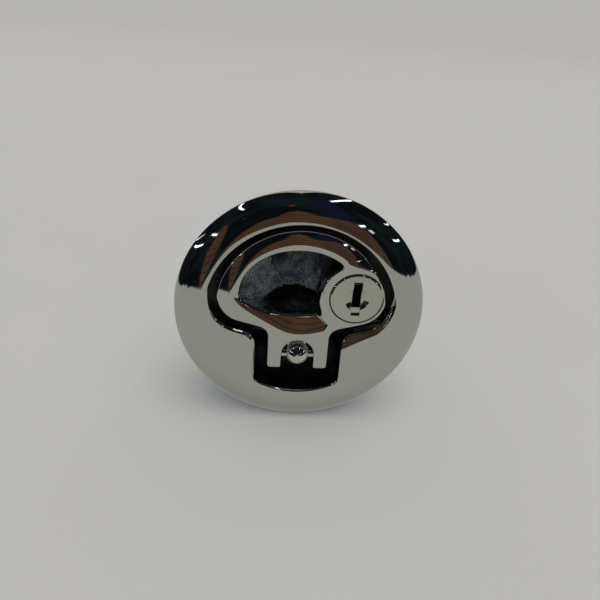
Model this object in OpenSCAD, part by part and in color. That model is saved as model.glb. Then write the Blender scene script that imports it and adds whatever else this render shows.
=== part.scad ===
// Flush pull latch with a sprung bolt and a cylinder lock.
// Sizes are in millimetres. Each sub-part is drawn in face coordinates: x to the right and
// y up across the face, z out of the panel with zero on the back of the flange. The module
// as_fixed() then stands it up as it sits in a vertical door, looking along +Y.

/* [Flange] */
// Radius of the round flange
flange_r = 31.5; // [30:0.1:36]
// Height of the flange's crown over the panel
flange_h = 5; // [4.8:0.1:6]
// Height of the straight edge of the flange
flange_edge = 0.6; // [0.4:0.1:1]
// Width over which the flange curves down to its edge
flange_dome_w = 9.5; // [9:0.1:11]

/* [Opening] */
// Radius of the round part of the opening
opening_r = 23.7; // [23.4:0.05:23.9]
// Height of that round part's centre over the centre of the flange
opening_up = 0.9; // [0.5:0.05:1]
// Greatest half width of the opening above its shoulders
opening_half_w = 23.2; // [22.9:0.05:23.3]
// Height of the shoulders at that half width, below the centre
opening_shoulder_drop = 1.6; // [1.2:0.1:2]
// Radius of the opening's shoulders
shoulder_r = 7; // [6:0.5:8]
// Fall of each shoulder over its width
shoulder_slope = 0.27; // [0.2:0.01:0.3]
// Half width of the pocket under the handle's legs
pocket_half_w = 11; // [10:0.1:11.5]
// Radius of the pocket's lower edge about the centre of the flange
pocket_r = 21.55; // [21:0.05:22]
// Radius where the shoulders turn down into the pocket
pocket_neck_r = 4; // [3:0.5:5]
// Radius of the pocket's lower corners
pocket_corner_r = 2; // [1:0.5:3]
// Depth of the pocket's floor behind the panel's face
pocket_depth = 2.4; // [2:0.1:2.8]
// Thickness of the pocket's floor
pocket_floor_t = 1.2; // [1:0.1:1.5]

/* [Handle] */
// Radius of the handle's ring
handle_r = 21.1; // [20.5:0.05:21.5]
// Height of the ring's centre over the centre of the flange
handle_up = 1.9; // [1.5:0.1:2]
// Thickness of the handle
handle_t = 4; // [3.6:0.1:4.2]
// Drop of the ring's domed outer edge
ring_drop = 1.5; // [1:0.1:2]
// Width over which the ring is domed
ring_dome_w = 6; // [5:0.5:8]
// Greatest half width of the handle at its shoulders
handle_half_w = 20.9; // [20.5:0.1:21]
// Height of the handle's shoulders at that half width
handle_shoulder_up = 0.5; // [0:0.1:1]
// Half width across both legs
legs_half_w = 7.75; // [7.5:0.05:8]
// Half width of the arch between the legs
arch_half_w = 4.15; // [4:0.05:4.2]
// Height of the arch's round top centre, below the centre of the flange
arch_drop = 10.3; // [10:0.1:10.7]
// Lower end of the legs, below the centre of the flange
legs_drop = 14.4; // [14:0.1:14.6]
// Radius where the handle turns into its legs
leg_neck_r = 3; // [2:0.5:4]
// Radius of the legs' outer corners
leg_corner_r = 0.8; // [0.4:0.1:1.2]

/* [Finger hole] */
// Radius of the finger hole's round top
hole_r = 16.6; // [16:0.1:17]
// Shift of that round top's centre to the left
hole_left = 0.6; // [0:0.1:1]
// Radius of the lock's boss where it bulges into the hole
lock_boss_r = 8.9; // [8.5:0.1:9.2]
// Height of the hole's lower edge over the centre of the flange
hole_low = 0.5; // [0.3:0.1:1]
// Height of the hole's lower left corner
hole_left_up = 5.7; // [5:0.1:6]
// Radius of that corner
hole_left_r = 2; // [1.5:0.1:2.5]
// Place of the bend in the hole's lower edge, left of the centre
hole_bend_left = 7.7; // [7:0.1:8.5]
// Rise of the lower edge at that bend
hole_bend_rise = 0.5; // [0.3:0.1:0.8]
// Radius of the bend
hole_bend_r = 8; // [6:0.5:9]
// Radius of the lower edge at its lowest point
hole_low_r = 16; // [12:1:18]
// Place of that lowest point, left of the centre
hole_low_left = 1; // [0.5:0.1:1.5]
// Place of the hole's lower right corner
hole_corner_x = 6; // [5.8:0.1:6.2]
// Rise of the lower edge at that corner
hole_corner_rise = 0.6; // [0.4:0.1:0.8]
// Radius of that corner
hole_corner_r = 1.2; // [0.8:0.1:1.4]
// Lean of the hole's right side
hole_side_lean = 0.6; // [0.4:0.1:0.8]
// Height up to which that side runs
hole_side_up = 5; // [4.5:0.1:5.5]
// Height up to which the handle's face is flat, over the centre of the flange
flat_up = 3; // [2:0.1:4]
// Radius of the thumb scoop's outer edge
scoop_r = 18.2; // [17.8:0.1:18.6]
// Height of the scoop's centre
scoop_up = 14; // [13.5:0.1:14.5]
// Shift of the scoop's centre to the left
scoop_left = 0.5; // [0:0.1:1]
// Width of the scoop's slope
scoop_w = 5.3; // [4.8:0.1:5.6]
// Depth of the scoop at the foot of its slope
scoop_depth = 1; // [0.6:0.1:1.2]
// Place of the scoop's right tip
scoop_tip_x = 7.1; // [6.8:0.1:7.4]
// Drop of that tip below the centre of the flange
scoop_tip_drop = 1.1; // [0.8:0.1:1.4]
// Set-back of the scoop's right end above and below the tip
scoop_tip_lean = 1.6; // [1.2:0.1:2]

/* [Finger cup] */
// Depth of the cup behind the panel's face
cup_depth = 8.8; // [8:0.1:9]
// Radius of the cup's mouth about the centre of the flange
cup_r = 18.6; // [18:0.1:19]
// Right side of the cup
cup_right = 5; // [4.6:0.1:5.2]
// Thickness of the wall between the cup and the lock's well
divider_t = 2; // [1.6:0.1:2.2]
// Radius of the lock's well about the centre of the flange
well_r = 21.65; // [21.5:0.05:21.9]
// Lower side of the lock's well, below the centre of the flange
well_low = 3.4; // [3:0.1:3.8]
// Lower side of the cup, below the centre of the flange
cup_low = 1.2; // [1:0.1:1.4]
// Height of the cup's lower left corner over the centre of the flange
cup_left_up = 1.5; // [1:0.1:2]
// Radius where the cup's lower side turns up to that corner
cup_bend_r = 6; // [4:0.5:8]
// Radius of the cup's lower right corner
cup_corner_r = 1.5; // [1:0.1:2]
// Radius of the cup's round basin
basin_r = 24; // [22:0.5:26]
// Depth of the basin under the ledge that the handle rests on
basin_depth = 5.5; // [5:0.1:5.8]
// Shift of the basin's centre to the left
basin_left = 2.5; // [2:0.1:3]
// Height of the basin's centre over the centre of the flange
basin_up = 9; // [8.5:0.1:9.5]
// Radius of the round scoop in the back of the cup
dome_r = 6.2; // [6:0.1:6.4]
// Depth of that scoop behind the panel's face
dome_depth = 9.2; // [8.8:0.1:9.4]
// Height of that scoop's centre
dome_up = 12.5; // [12:0.1:13]
// Shift of that scoop's centre to the left
dome_left = 1.3; // [1:0.1:1.6]
// Radius of the upper step in the trough below the scoop
upper_step_r = 11; // [10:0.5:12]
// Height of the upper step's top
upper_step_up = 5.1; // [4.8:0.1:5.4]
// Depth of the upper step behind the panel's face
upper_step_depth = 6.4; // [6:0.1:7]
// Radius of the lower step
lower_step_r = 6; // [5.5:0.1:6.5]
// Height of the lower step's top
lower_step_up = 3.4; // [3:0.1:3.7]

/* [Barrel and nut] */
// Radius of the barrel, for a panel hole of 50.8 millimetres
barrel_r = 25.2; // [25:0.05:25.3]
// Thickness of the barrel's wall round the bolt's compartment
barrel_wall = 2; // [1.5:0.1:2.2]
// Length of the barrel behind the panel's face
barrel_len = 18; // [18:0.1:19]
// Depth of the compartment's front wall behind the panel's face
compartment_depth = 10.4; // [10.2:0.1:10.6]
// Thickness of the panel that the nut clamps
panel_t = 6; // [5.5:0.1:6.2]
// Thickness of the ring nut
nut_t = 4; // [3:0.1:4]
// Outer radius of the ring nut
nut_r = 28.2; // [27.5:0.1:28.4]
// Number of spanner notches in the ring nut
nut_notches = 6; // [4:1:8]
// Width of a spanner notch
notch_w = 4; // [3:0.5:5]
// Depth of a spanner notch
notch_depth = 1.4; // [1:0.1:1.6]

/* [Hinge] */
// Height of the hinge's axis, below the centre of the flange
hinge_drop = 10.7; // [10.5:0.1:11]
// Height of the hinge's axis over the panel's face
hinge_out = 3; // [2.8:0.1:3.2]
// Radius of the ball that carries the pin
ball_r = 3; // [2.8:0.1:3.2]
// Radius of the hinge pin
pin_r = 1.2; // [1:0.05:1.3]
// Radius of the post's stem
stem_r = 1.5; // [1.4:0.05:1.6]
// Radius of the post's collar
collar_r = 2.6; // [2.4:0.1:2.8]
// Height of the post's collar
collar_t = 1; // [0.8:0.1:1.2]
// Length of the post past its nut
post_end = 0.6; // [0.4:0.1:0.8]
// Depth of the hinge pin's ends inside the legs
pin_inset = 0.1; // [0.05:0.01:0.2]
// Width across the flats of the post's nut
post_nut_af = 5.5; // [5:0.1:5.8]
// Thickness of the post's nut
post_nut_t = 2.4; // [2:0.1:2.6]
// Length of the arms from the hinge to their rounded tips
arm_len = 8.3; // [8:0.1:8.5]
// Radius of the arms' roots round the hinge
arm_root_r = 2; // [1.8:0.05:2]
// Radius of the arms' tips
arm_tip_r = 1.6; // [1.4:0.1:1.7]
// Thickness of the arms
arm_t = 2.2; // [2:0.1:2.4]
// Angle of the arms below square to the panel
arm_angle = 22.5; // [20:0.5:24]
// Half length of the slots that the arms reach through
arm_slot_half = 4.5; // [4.2:0.1:4.8]

/* [Bolt] */
// Half width of the bolt
bolt_half_w = 8; // [7.5:0.1:8.1]
// Thickness of the bolt
bolt_t = 7; // [6.5:0.1:7]
// Reach of the bolt's nose from the centre of the flange
bolt_reach = 31.3; // [30.5:0.1:31.4]
// Length of the bolt
bolt_len = 27.3; // [27:0.1:27.6]
// Length of the sloped face at the bolt's nose
nose_len = 6; // [5:0.1:6.5]
// Thickness left at the tip of the nose
nose_tip_t = 1.6; // [1.2:0.1:2]
// Height of the lugs that the arms lift
lug_h = 2.6; // [2:0.1:2.7]
// Width of a lug
lug_w = 3.6; // [3:0.1:3.7]
// Travel of the bolt
bolt_travel = 6.35; // [6:0.05:6.4]
// Thickness of the rails that guide the bolt
rail_t = 1.8; // [1.5:0.1:2.2]
// Height of the springs' seat over the centre of the flange
seat_up = 10.2; // [9.5:0.1:10.6]

/* [Springs] */
// Outer radius of a bolt spring
spring_r = 2.5; // [2.2:0.1:2.6]
// Radius of a bolt spring's wire
spring_wire_r = 0.35; // [0.3:0.01:0.4]
// Number of turns of a bolt spring
spring_turns = 7; // [6:1:8]
// Sideways place of each bolt spring
spring_x = 4.4; // [4:0.1:4.8]
// Radius of the pegs that hold the bolt springs
peg_r = 1.5; // [1.2:0.1:1.6]
// Length of those pegs
peg_len = 3; // [2:0.1:3.5]

/* [Lock] */
// Place of the lock to the right of the centre
lock_x = 13.5; // [13.4:0.05:13.6]
// Height of the lock over the centre of the flange
lock_up = 6.4; // [6.2:0.05:6.6]
// Radius of the plug's round face
plug_face_r = 6.5; // [6.3:0.05:6.6]
// Thickness of the plug's face
plug_face_t = 1.7; // [1.5:0.1:1.8]
// Bevel round the plug's face
plug_bevel = 0.4; // [0.2:0.1:0.6]
// Height by which the plug's face stands proud
plug_proud = 0.25; // [0.1:0.05:0.4]
// Radius of the plug
plug_r = 3.9; // [3.8:0.05:4]
// Radius of the lock's shell
shell_r = 5; // [4.9:0.05:5.1]
// Depth of the shell's back behind the panel's face
shell_depth = 7; // [6.8:0.1:7]
// Radius of the boss behind the handle that holds the shell
boss_r = 6; // [5.9:0.05:6.1]
// Depth of that boss behind the panel's face
boss_depth = 2; // [1.5:0.1:2]
// Height of the key slot across the plug's face
slot_h = 9.7; // [9:0.1:10]
// Width of the key slot
slot_w = 2.15; // [2:0.05:2.3]
// Depth of the key slot's shallow ends
slot_depth = 0.8; // [0.6:0.05:1]
// Height of the deep keyway
keyway_h = 6.75; // [6.4:0.05:6.8]
// Thickness left behind the keyway
keyway_floor = 1.2; // [1:0.1:1.4]
// Depth of the shell's grooves that the wafers lock into
groove_depth = 0.6; // [0.5:0.05:0.8]
// Distance of those grooves from the shell's ends
groove_end = 1; // [0.8:0.1:1.2]
// Depth of the first wafer behind the shell's front
first_wafer = 1.6; // [1.5:0.05:1.7]
// Radius of the dimple round the keyway
dimple_r = 3.1; // [3:0.05:3.3]
// Depth of the dimple
dimple_depth = 0.35; // [0.2:0.05:0.5]
// Number of wafers
wafer_count = 4; // [3:1:4]
// Thickness of a wafer
wafer_t = 0.9; // [0.8:0.05:1]
// Distance from one wafer to the next
wafer_pitch = 2; // [1.9:0.05:2.1]
// Half width of a wafer
wafer_half_w = 2.6; // [2.5:0.05:2.7]
// Half height of a wafer
wafer_half_h = 3.6; // [3.55:0.01:3.65]
// Width of the wafer's rim above and below the key's window
wafer_rim = 0.8; // [0.7:0.05:0.9]
// Radius of a wafer spring
wafer_spring_r = 0.39; // [0.36:0.01:0.42]
// Length of a wafer spring
wafer_spring_len = 2.7; // [2.5:0.05:2.8]
// Radius of a wafer spring's wire
wafer_wire_r = 0.11; // [0.09:0.01:0.12]
// Number of turns of a wafer spring
wafer_turns = 4; // [3:1:5]

/* [Locking tongue] */
// Length of the tongue from the lock's axis
tongue_len = 8.9; // [8.8:0.05:9]
// Width of the tongue
tongue_w = 5; // [4.5:0.1:5.2]
// Thickness of the tongue
tongue_t = 2; // [1.6:0.1:2]
// Radius of the corners of the tongue's free end
tongue_corner_r = 1.2; // [1:0.1:1.4]
// Radius of the tongue's round end about the lock's axis
tongue_hub_r = 3.6; // [3.4:0.1:3.8]
// Radius of the plug's tail
tail_r = 2.3; // [2.2:0.05:2.4]
// Half width over the tail's flats
tail_flat = 1.8; // [1.6:0.05:1.9]
// Radius of the tongue's screw
tongue_screw_r = 1.25; // [1.1:0.05:1.3]
// Length of the tongue screw's shank
tongue_screw_len = 5; // [4:0.1:5]
// Depth left under the shank's end
tongue_screw_end = 0.4; // [0.3:0.1:0.5]
// Radius of the tongue screw's head
tongue_head_r = 2.2; // [2:0.1:2.3]
// Thickness of the tongue screw's head
tongue_head_t = 1.2; // [1:0.1:1.3]
// Thickness of the tongue's washer
washer_t = 0.6; // [0.5:0.05:0.7]
// Radius of the tongue's washer
washer_r = 3.2; // [3:0.05:3.4]

/* [Rear cover] */
// Thickness of the rear cover
cover_t = 1.6; // [1.4:0.1:2]
// Set-back of the cover's edge from the barrel's
cover_inset = 0.2; // [0.1:0.1:0.4]
// Distance of the cover's screws from the centre
cover_screw_at = 20.6; // [20.4:0.05:20.8]
// Angle of the first cover screw
cover_screw_angle = 45; // [43:1:47]
// Radius of a cover screw's shank
cover_screw_r = 1.25; // [1.1:0.05:1.3]
// Length of a cover screw's shank
cover_screw_len = 6; // [5:0.1:6.5]
// Radius of a cover screw's head
cover_head_r = 2.3; // [2.1:0.05:2.4]
// Thickness of a cover screw's head
cover_head_t = 1.5; // [1.3:0.1:1.6]
// Depth of the cross recess in a screw's head
recess_depth = 0.8; // [0.6:0.1:0.9]
// Radius of the bosses that take the cover's screws
cover_boss_r = 3.2; // [3:0.05:3.3]

/* [Fits] */
// Running clearance between a pin and its bore
run_gap = 0.04; // [0.02:0.01:0.08]
// Clearance between flat faces that slide
slide_gap = 0.2; // [0.1:0.01:0.25]
// Seating clearance between faces that lie together
seat_gap = 0.03; // [0.01:0.01:0.05]
// Clearance round the plug's face
face_gap = 0.22; // [0.15:0.01:0.25]
// Clearance round the handle's arms
arm_gap = 0.3; // [0.2:0.05:0.35]
// Clearance round the sweep of the locking tongue
tongue_gap = 0.5; // [0.3:0.1:0.6]
// Clearance of the screws in the cover and the washer
screw_gap = 0.12; // [0.1:0.01:0.15]
// Clearance round the wafers
wafer_gap = 0.1; // [0.05:0.01:0.12]

/* [Hidden] */
$fn = 96;
// Overshoot of a cut past the face that it opens
cut = 1;

nut_bore_r = barrel_r + 2 * seat_gap;
handle_back = flange_h - handle_t;
ledge_z = handle_back - seat_gap;
pocket_floor_z = -pocket_depth;
lug_room_z = -(pocket_depth + pocket_floor_t);
bolt_back_z = -barrel_len + 2 * slide_gap;
bolt_front_z = bolt_back_z + bolt_t;
leg_mid_x = (arch_half_w + legs_half_w) / 2;
leg_w = legs_half_w - arch_half_w;
arm_tip_y = -hinge_drop - arm_len * sin(arm_angle);
lug_low = arm_tip_y + arm_tip_r + 2 * seat_gap;
bolt_top = bolt_len - bolt_reach;
boss_bottom_z = -boss_depth;
plug_top_z = flange_h + plug_proud;
plug_step_z = plug_top_z - plug_face_t;
shell_top_z = plug_step_z - 2 * seat_gap;
shell_back_z = -shell_depth;
tongue_front_z = shell_back_z - 2 * slide_gap;
tongue_back_z = tongue_front_z - tongue_t;
washer_back_z = tongue_back_z - seat_gap - washer_t;
screw_tip_z = washer_back_z - seat_gap + tongue_screw_len;
cover_front_z = -barrel_len;
cover_back_z = cover_front_z - cover_t;
spring_x_in_wafer = slot_w / 2 + 2 * wafer_gap + wafer_spring_r;
step_r = [upper_step_r, lower_step_r];
step_up = [upper_step_up, lower_step_up];
step_depth = [upper_step_depth, cup_depth];

function unit(v) = v / norm(v);

function turn_between(from, to) = let (d = to - from) d > 180 ? d - 360 : (d < -180 ? d + 360 : d);

// Points of one corner p between its neighbours a and b, rounded to radius r
function corner_arc(a, p, b, r, steps = 8) =
    r == 0 ? [p] :
    let (
        u = unit(a - p),
        v = unit(b - p),
        half = acos(u * v) / 2,
        middle = p + unit(u + v) * r / sin(half),
        start = p + u * r / tan(half) - middle,
        end = p + v * r / tan(half) - middle,
        from = atan2(start.y, start.x),
        sweep = turn_between(from, atan2(end.y, end.x))
    )
    [for (i = [0:steps]) middle + r * [cos(from + sweep * i / steps), sin(from + sweep * i / steps)]];

// Closed outline through points [x, y, corner radius]
function smooth_path(points) =
    let (n = len(points))
    [for (i = [0:n - 1])
        let (a = points[(i + n - 1) % n], p = points[i], b = points[(i + 1) % n])
        each corner_arc([a.x, a.y], [p.x, p.y], [b.x, b.y], p[2])];

// The same outline on the left, from the points of its right half
function both_sides(right) = concat(
    right,
    [for (i = [len(right) - 1:-1:0]) [-right[i].x, right[i].y, right[i][2]]]
);

// Quarter of an ellipse from the rim of a dome up to its crown
function dome_points(rim, width, low, high, steps = 14) =
    [for (i = [0:steps]) [rim - width + width * cos(90 * i / steps), low + (high - low) * sin(90 * i / steps)]];

// Points of one turn-by-turn ring round a helix of wire
function helix_points(radius, wire, length, turns, sides, per_turn) =
    [for (i = [0:turns * per_turn], j = [0:sides - 1])
        let (
            a = 360 * i / per_turn,
            b = 360 * j / sides,
            out = radius - wire + wire * cos(b)
        )
        [out * cos(a), out * sin(a), wire + (length - 2 * wire) * i / (turns * per_turn) + wire * sin(b)]];

function helix_faces(rings, sides) = concat(
    [[for (j = [0:sides - 1]) j]],
    [for (i = [0:rings - 2], j = [0:sides - 1])
        let (k = (j + 1) % sides)
        [i * sides + j, (i + 1) * sides + j, (i + 1) * sides + k, i * sides + k]],
    [[for (j = [sides - 1:-1:0]) (rings - 1) * sides + j]]
);

// Close-wound compression spring standing on z = 0
module coil_spring(radius, wire, length, turns, sides = 8, per_turn = 16) {
    polyhedron(
        points = helix_points(radius, wire, length, turns, sides, per_turn),
        faces = helix_faces(turns * per_turn + 1, sides)
    );
}

// Stands the face coordinates up in the door
module as_fixed() {
    rotate([90, 0, 0])
        children();
}

// Straight prism of a flat outline between two heights
module slab(low, high) {
    translate([0, 0, low])
        linear_extrude(height = high - low)
            children();
}

// Round bar between two heights
module post(r, low, high) {
    translate([0, 0, low])
        cylinder(r = r, h = high - low);
}

module at_lock() {
    translate([lock_x, lock_up, 0])
        children();
}

module both_legs() {
    for (side = [-1, 1]) {
        translate([side * leg_mid_x, 0, 0])
            children();
    }
}

module at_cover_screw(i) {
    rotate([0, 0, cover_screw_angle + 90 * (i - 1)])
        translate([cover_screw_at, 0, 0])
            children();
}

/* Housing */

pocket_edge_angle = asin(pocket_half_w / pocket_r);
pocket_steps = 6;

// Edge of the opening: a circle with shoulders and a pocket below it
module opening_outline() {
    neck_y = opening_shoulder_drop + shoulder_slope * (opening_half_w - pocket_half_w);
    intersection() {
        union() {
            translate([0, opening_up])
                circle(r = opening_r, $fn = 180);
            translate([-pocket_half_w, -flange_r])
                square([2 * pocket_half_w, flange_r]);
        }
        polygon(smooth_path(both_sides([
            [opening_half_w, flange_r, 0],
            [opening_half_w, -opening_shoulder_drop, shoulder_r],
            [pocket_half_w, -neck_y, pocket_neck_r],
            [pocket_half_w, -pocket_r * cos(pocket_edge_angle), pocket_corner_r],
            for (i = [1:pocket_steps])
                let (a = pocket_edge_angle * (1 - i / (pocket_steps + 0.5)))
                [pocket_r * sin(a), -pocket_r * cos(a), 0]
        ])));
    }
}

module pocket_outline() {
    intersection() {
        opening_outline();
        translate([-flange_r, -flange_r])
            square([2 * flange_r, flange_r - opening_shoulder_drop - pocket_neck_r]);
    }
}

module flange_body() {
    rotate_extrude($fn = 180)
        polygon(concat(
            [[0, 0], [flange_r - flange_edge / 2, 0], [flange_r, flange_edge / 2]],
            dome_points(flange_r, flange_dome_w, flange_edge, flange_h),
            [[0, flange_h]]
        ));
}

module cup_outline() {
    intersection() {
        circle(r = cup_r, $fn = 128);
        polygon(smooth_path([
            [-cup_r - cut, cup_r + cut, 0],
            [-cup_r - cut, cup_left_up, 0],
            [-cup_r / 2, -cup_low, cup_bend_r],
            [cup_right, -cup_low, cup_corner_r],
            [cup_right, cup_r + cut, 0]
        ]));
    }
}

// Finger cup: a shallow round basin, with a round scoop above and a stepped trough below
module cup_cut() {
    basin_floor_z = ledge_z - basin_depth;
    intersection() {
        slab(-cup_depth, ledge_z + cut)
            cup_outline();
        union() {
            translate([-basin_left, basin_up, basin_floor_z + basin_r])
                sphere(r = basin_r, $fn = 180);
            translate([-dome_left, dome_up, dome_r - dome_depth])
                sphere(r = dome_r);
            for (i = [0:1]) {
                trough_cut(step_r[i], step_up[i], step_depth[i]);
            }
        }
    }
}

// One step of the trough, round at its top
module trough_cut(r, up, depth) {
    translate([-dome_left, up - r, 0])
        post(r, -depth, ledge_z + cut);
}

// Room for the lock behind the handle, open to the compartment
module lock_well_cut() {
    slab(-compartment_depth - cut, ledge_z + cut)
        intersection() {
            circle(r = well_r, $fn = 128);
            translate([cup_right + divider_t, -well_low])
                square([flange_r, well_low + well_r]);
        }
}

// Undercut in the barrel that the tongue turns behind
module tongue_room_cut() {
    at_lock()
        intersection() {
            post(tongue_len + tongue_gap, -compartment_depth - cut, tongue_front_z + slide_gap);
            translate([0, -tongue_len, -barrel_len])
                cube([flange_r, 2 * tongue_len, barrel_len]);
        }
}

module arm_slots_cut() {
    both_legs()
        translate([-leg_w / 2 - arm_gap, -hinge_drop - arm_slot_half, lug_room_z - cut])
            cube([leg_w + 2 * arm_gap, 2 * arm_slot_half, pocket_floor_t + 2 * cut]);
}

module lug_room_cut() {
    half_w = bolt_half_w + slide_gap;
    low = arm_tip_y - arm_tip_r - 2 * slide_gap;
    top = lug_low + lug_h + bolt_travel + arm_gap;
    translate([-half_w, low, -compartment_depth - cut])
        cube([2 * half_w, top - low, compartment_depth + cut + lug_room_z]);
}

// Compartment behind the cup, with the bolt's rails and the cover's bosses left standing
module compartment_cut() {
    inner_r = barrel_r - barrel_wall;
    rail_x = bolt_half_w + slide_gap;
    difference() {
        post(inner_r, -barrel_len - cut, -compartment_depth);
        for (side = [-1, 1]) {
            translate([side * (rail_x + rail_t / 2), -barrel_r / 2 + seat_up / 2 + rail_t / 2, -barrel_len / 2])
                cube([rail_t, barrel_r + seat_up + rail_t, barrel_len], center = true);
        }
        translate([-rail_x - rail_t, seat_up, -barrel_len])
            cube([2 * (rail_x + rail_t), rail_t, barrel_len]);
        for (i = [1:4]) {
            at_cover_screw(i)
                post(cover_boss_r, -barrel_len, -compartment_depth);
        }
    }
    translate([-rail_x, -barrel_r - cut, -barrel_len - cut])
        cube([2 * rail_x, barrel_r + cut, barrel_len + cut - compartment_depth]);
}

module housing() {
    color("silver")
        as_fixed()
            difference() {
                union() {
                    flange_body();
                    post(barrel_r, -barrel_len, flange_edge);
                }
                slab(ledge_z, flange_h + cut)
                    opening_outline();
                cup_cut();
                slab(pocket_floor_z, flange_h + cut)
                    pocket_outline();
                lock_well_cut();
                tongue_room_cut();
                arm_slots_cut();
                lug_room_cut();
                compartment_cut();
                translate([0, -hinge_drop, 0])
                    post(stem_r + seat_gap, lug_room_z - cut, pocket_floor_z + cut);
                for (i = [1:4]) {
                    at_cover_screw(i)
                        post(cover_screw_r + seat_gap, -barrel_len - cut, -barrel_len + cover_screw_len);
                }
            }
}

module mounting_nut() {
    top = -panel_t;
    color("dimgray")
        as_fixed()
            difference() {
                post(nut_r, top - nut_t, top);
                post(nut_bore_r, top - nut_t - cut, top + cut);
                for (i = [0:nut_notches - 1]) {
                    rotate([0, 0, 360 / nut_notches * i])
                        translate([nut_r - notch_depth, -notch_w / 2, top - nut_t - cut])
                            cube([notch_depth + cut, notch_w, nut_t + 2 * cut]);
                }
            }
}

/* Handle */

module handle_outline() {
    neck_y = handle_shoulder_up - shoulder_slope * (handle_half_w - legs_half_w);
    difference() {
        intersection() {
            union() {
                translate([0, handle_up])
                    circle(r = handle_r, $fn = 180);
                translate([-legs_half_w, -flange_r])
                    square([2 * legs_half_w, flange_r]);
            }
            polygon(smooth_path(both_sides([
                [handle_half_w, flange_r, 0],
                [handle_half_w, handle_shoulder_up, shoulder_r],
                [legs_half_w, neck_y, leg_neck_r],
                [legs_half_w, -legs_drop, leg_corner_r]
            ])));
        }
        translate([0, -arch_drop])
            circle(r = arch_half_w);
        translate([-arch_half_w, -legs_drop - cut])
            square([2 * arch_half_w, legs_drop + cut - arch_drop]);
    }
}

module finger_hole_outline() {
    difference() {
        intersection() {
            translate([-hole_left, handle_up])
                circle(r = hole_r, $fn = 128);
            polygon(smooth_path([
                [-hole_r - cut, hole_r + handle_up + cut, 0],
                [-hole_r - cut / 5, hole_left_up, hole_left_r],
                [-hole_bend_left, hole_low + hole_bend_rise, hole_bend_r],
                [-hole_low_left, hole_low, hole_low_r],
                [hole_corner_x, hole_low + hole_corner_rise, hole_corner_r],
                [hole_corner_x - hole_side_lean, hole_side_up, 0],
                [hole_r, hole_side_up, 0],
                [hole_r, hole_r + handle_up + cut, 0]
            ]));
        }
        translate([lock_x, lock_up])
            circle(r = lock_boss_r);
    }
}

// Parts of the handle whose face stays flat: web, legs and the lock's boss
module flat_face_outline() {
    intersection() {
        handle_outline();
        union() {
            translate([-flange_r, -flange_r])
                square([2 * flange_r, flange_r + flat_up]);
            translate([lock_x, lock_up])
                circle(r = lock_boss_r);
        }
    }
}

module domed_ring() {
    translate([0, handle_up, 0])
        rotate_extrude($fn = 180)
            polygon(concat(
                [[0, handle_back], [handle_r, handle_back]],
                dome_points(handle_r, ring_dome_w, flange_h - ring_drop, flange_h),
                [[0, flange_h]]
            ));
}

// Shallow cone that thins the web towards the hole
module scoop_cut() {
    low = scoop_up - scoop_r - cut;
    intersection() {
        translate([-scoop_left, scoop_up, flange_h])
            rotate_extrude($fn = 128)
                polygon([
                    [0, cut],
                    [scoop_r + cut * scoop_w / scoop_depth, cut],
                    [scoop_r - scoop_w, -scoop_depth],
                    [0, -scoop_depth]
                ]);
        slab(0, flange_h + cut)
            polygon([
                [-hole_r, hole_left_up],
                [-hole_r, low],
                [scoop_tip_x - scoop_tip_lean, low],
                [scoop_tip_x, -scoop_tip_drop],
                [scoop_tip_x - scoop_tip_lean, hole_low + hole_corner_rise],
                [0, hole_low + hole_corner_r]
            ]);
    }
}

// One arm from the hinge to the tip that lifts the bolt
module lifting_arm() {
    translate([-leg_w / 2, -hinge_drop, hinge_out])
        rotate([0, 90, 0])
            linear_extrude(height = leg_w)
                union() {
                    circle(r = arm_root_r);
                    rotate([0, 0, -arm_angle])
                        translate([0, -arm_t / 2])
                            square([arm_len, arm_t]);
                    translate([arm_len * cos(arm_angle), -arm_len * sin(arm_angle)])
                        circle(r = arm_tip_r);
                }
}

module handle() {
    color("gainsboro")
        as_fixed()
            difference() {
                union() {
                    intersection() {
                        domed_ring();
                        slab(handle_back, flange_h)
                            handle_outline();
                    }
                    slab(handle_back, flange_h)
                        flat_face_outline();
                    at_lock()
                        post(boss_r, boss_bottom_z, handle_back + 1);
                    both_legs()
                        lifting_arm();
                }
                slab(boss_bottom_z - cut, flange_h + cut)
                    finger_hole_outline();
                scoop_cut();
                at_lock() {
                    post(shell_r + seat_gap, boss_bottom_z - cut, flange_h + cut);
                    post(plug_face_r + face_gap, shell_top_z, flange_h + cut);
                }
                translate([-flange_r, -hinge_drop, hinge_out])
                    rotate([0, 90, 0])
                        cylinder(r = pin_r + run_gap, h = 2 * flange_r);
            }
}

/* Hinge */

module hinge_pin() {
    length = 2 * (legs_half_w - pin_inset);
    color("lightgray")
        as_fixed()
            translate([-length / 2, -hinge_drop, hinge_out])
                rotate([0, 90, 0])
                    cylinder(r = pin_r, h = length);
}

module hinge_post() {
    color("silver")
        as_fixed()
            difference() {
                translate([0, -hinge_drop, 0]) {
                    translate([0, 0, hinge_out])
                        sphere(r = ball_r);
                    post(stem_r, lug_room_z - post_nut_t - post_end, hinge_out);
                    post(collar_r, pocket_floor_z, pocket_floor_z + collar_t);
                }
                translate([-ball_r - cut, -hinge_drop, hinge_out])
                    rotate([0, 90, 0])
                        cylinder(r = pin_r + run_gap / 2, h = 2 * (ball_r + cut));
            }
}

module post_nut() {
    color("darkgray")
        as_fixed()
            translate([0, -hinge_drop, 0])
                difference() {
                    translate([0, 0, lug_room_z - post_nut_t])
                        cylinder(r = post_nut_af / sqrt(3), h = post_nut_t, $fn = 6);
                    post(stem_r + seat_gap, lug_room_z - post_nut_t - cut, lug_room_z + cut);
                }
}

/* Bolt */

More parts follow.
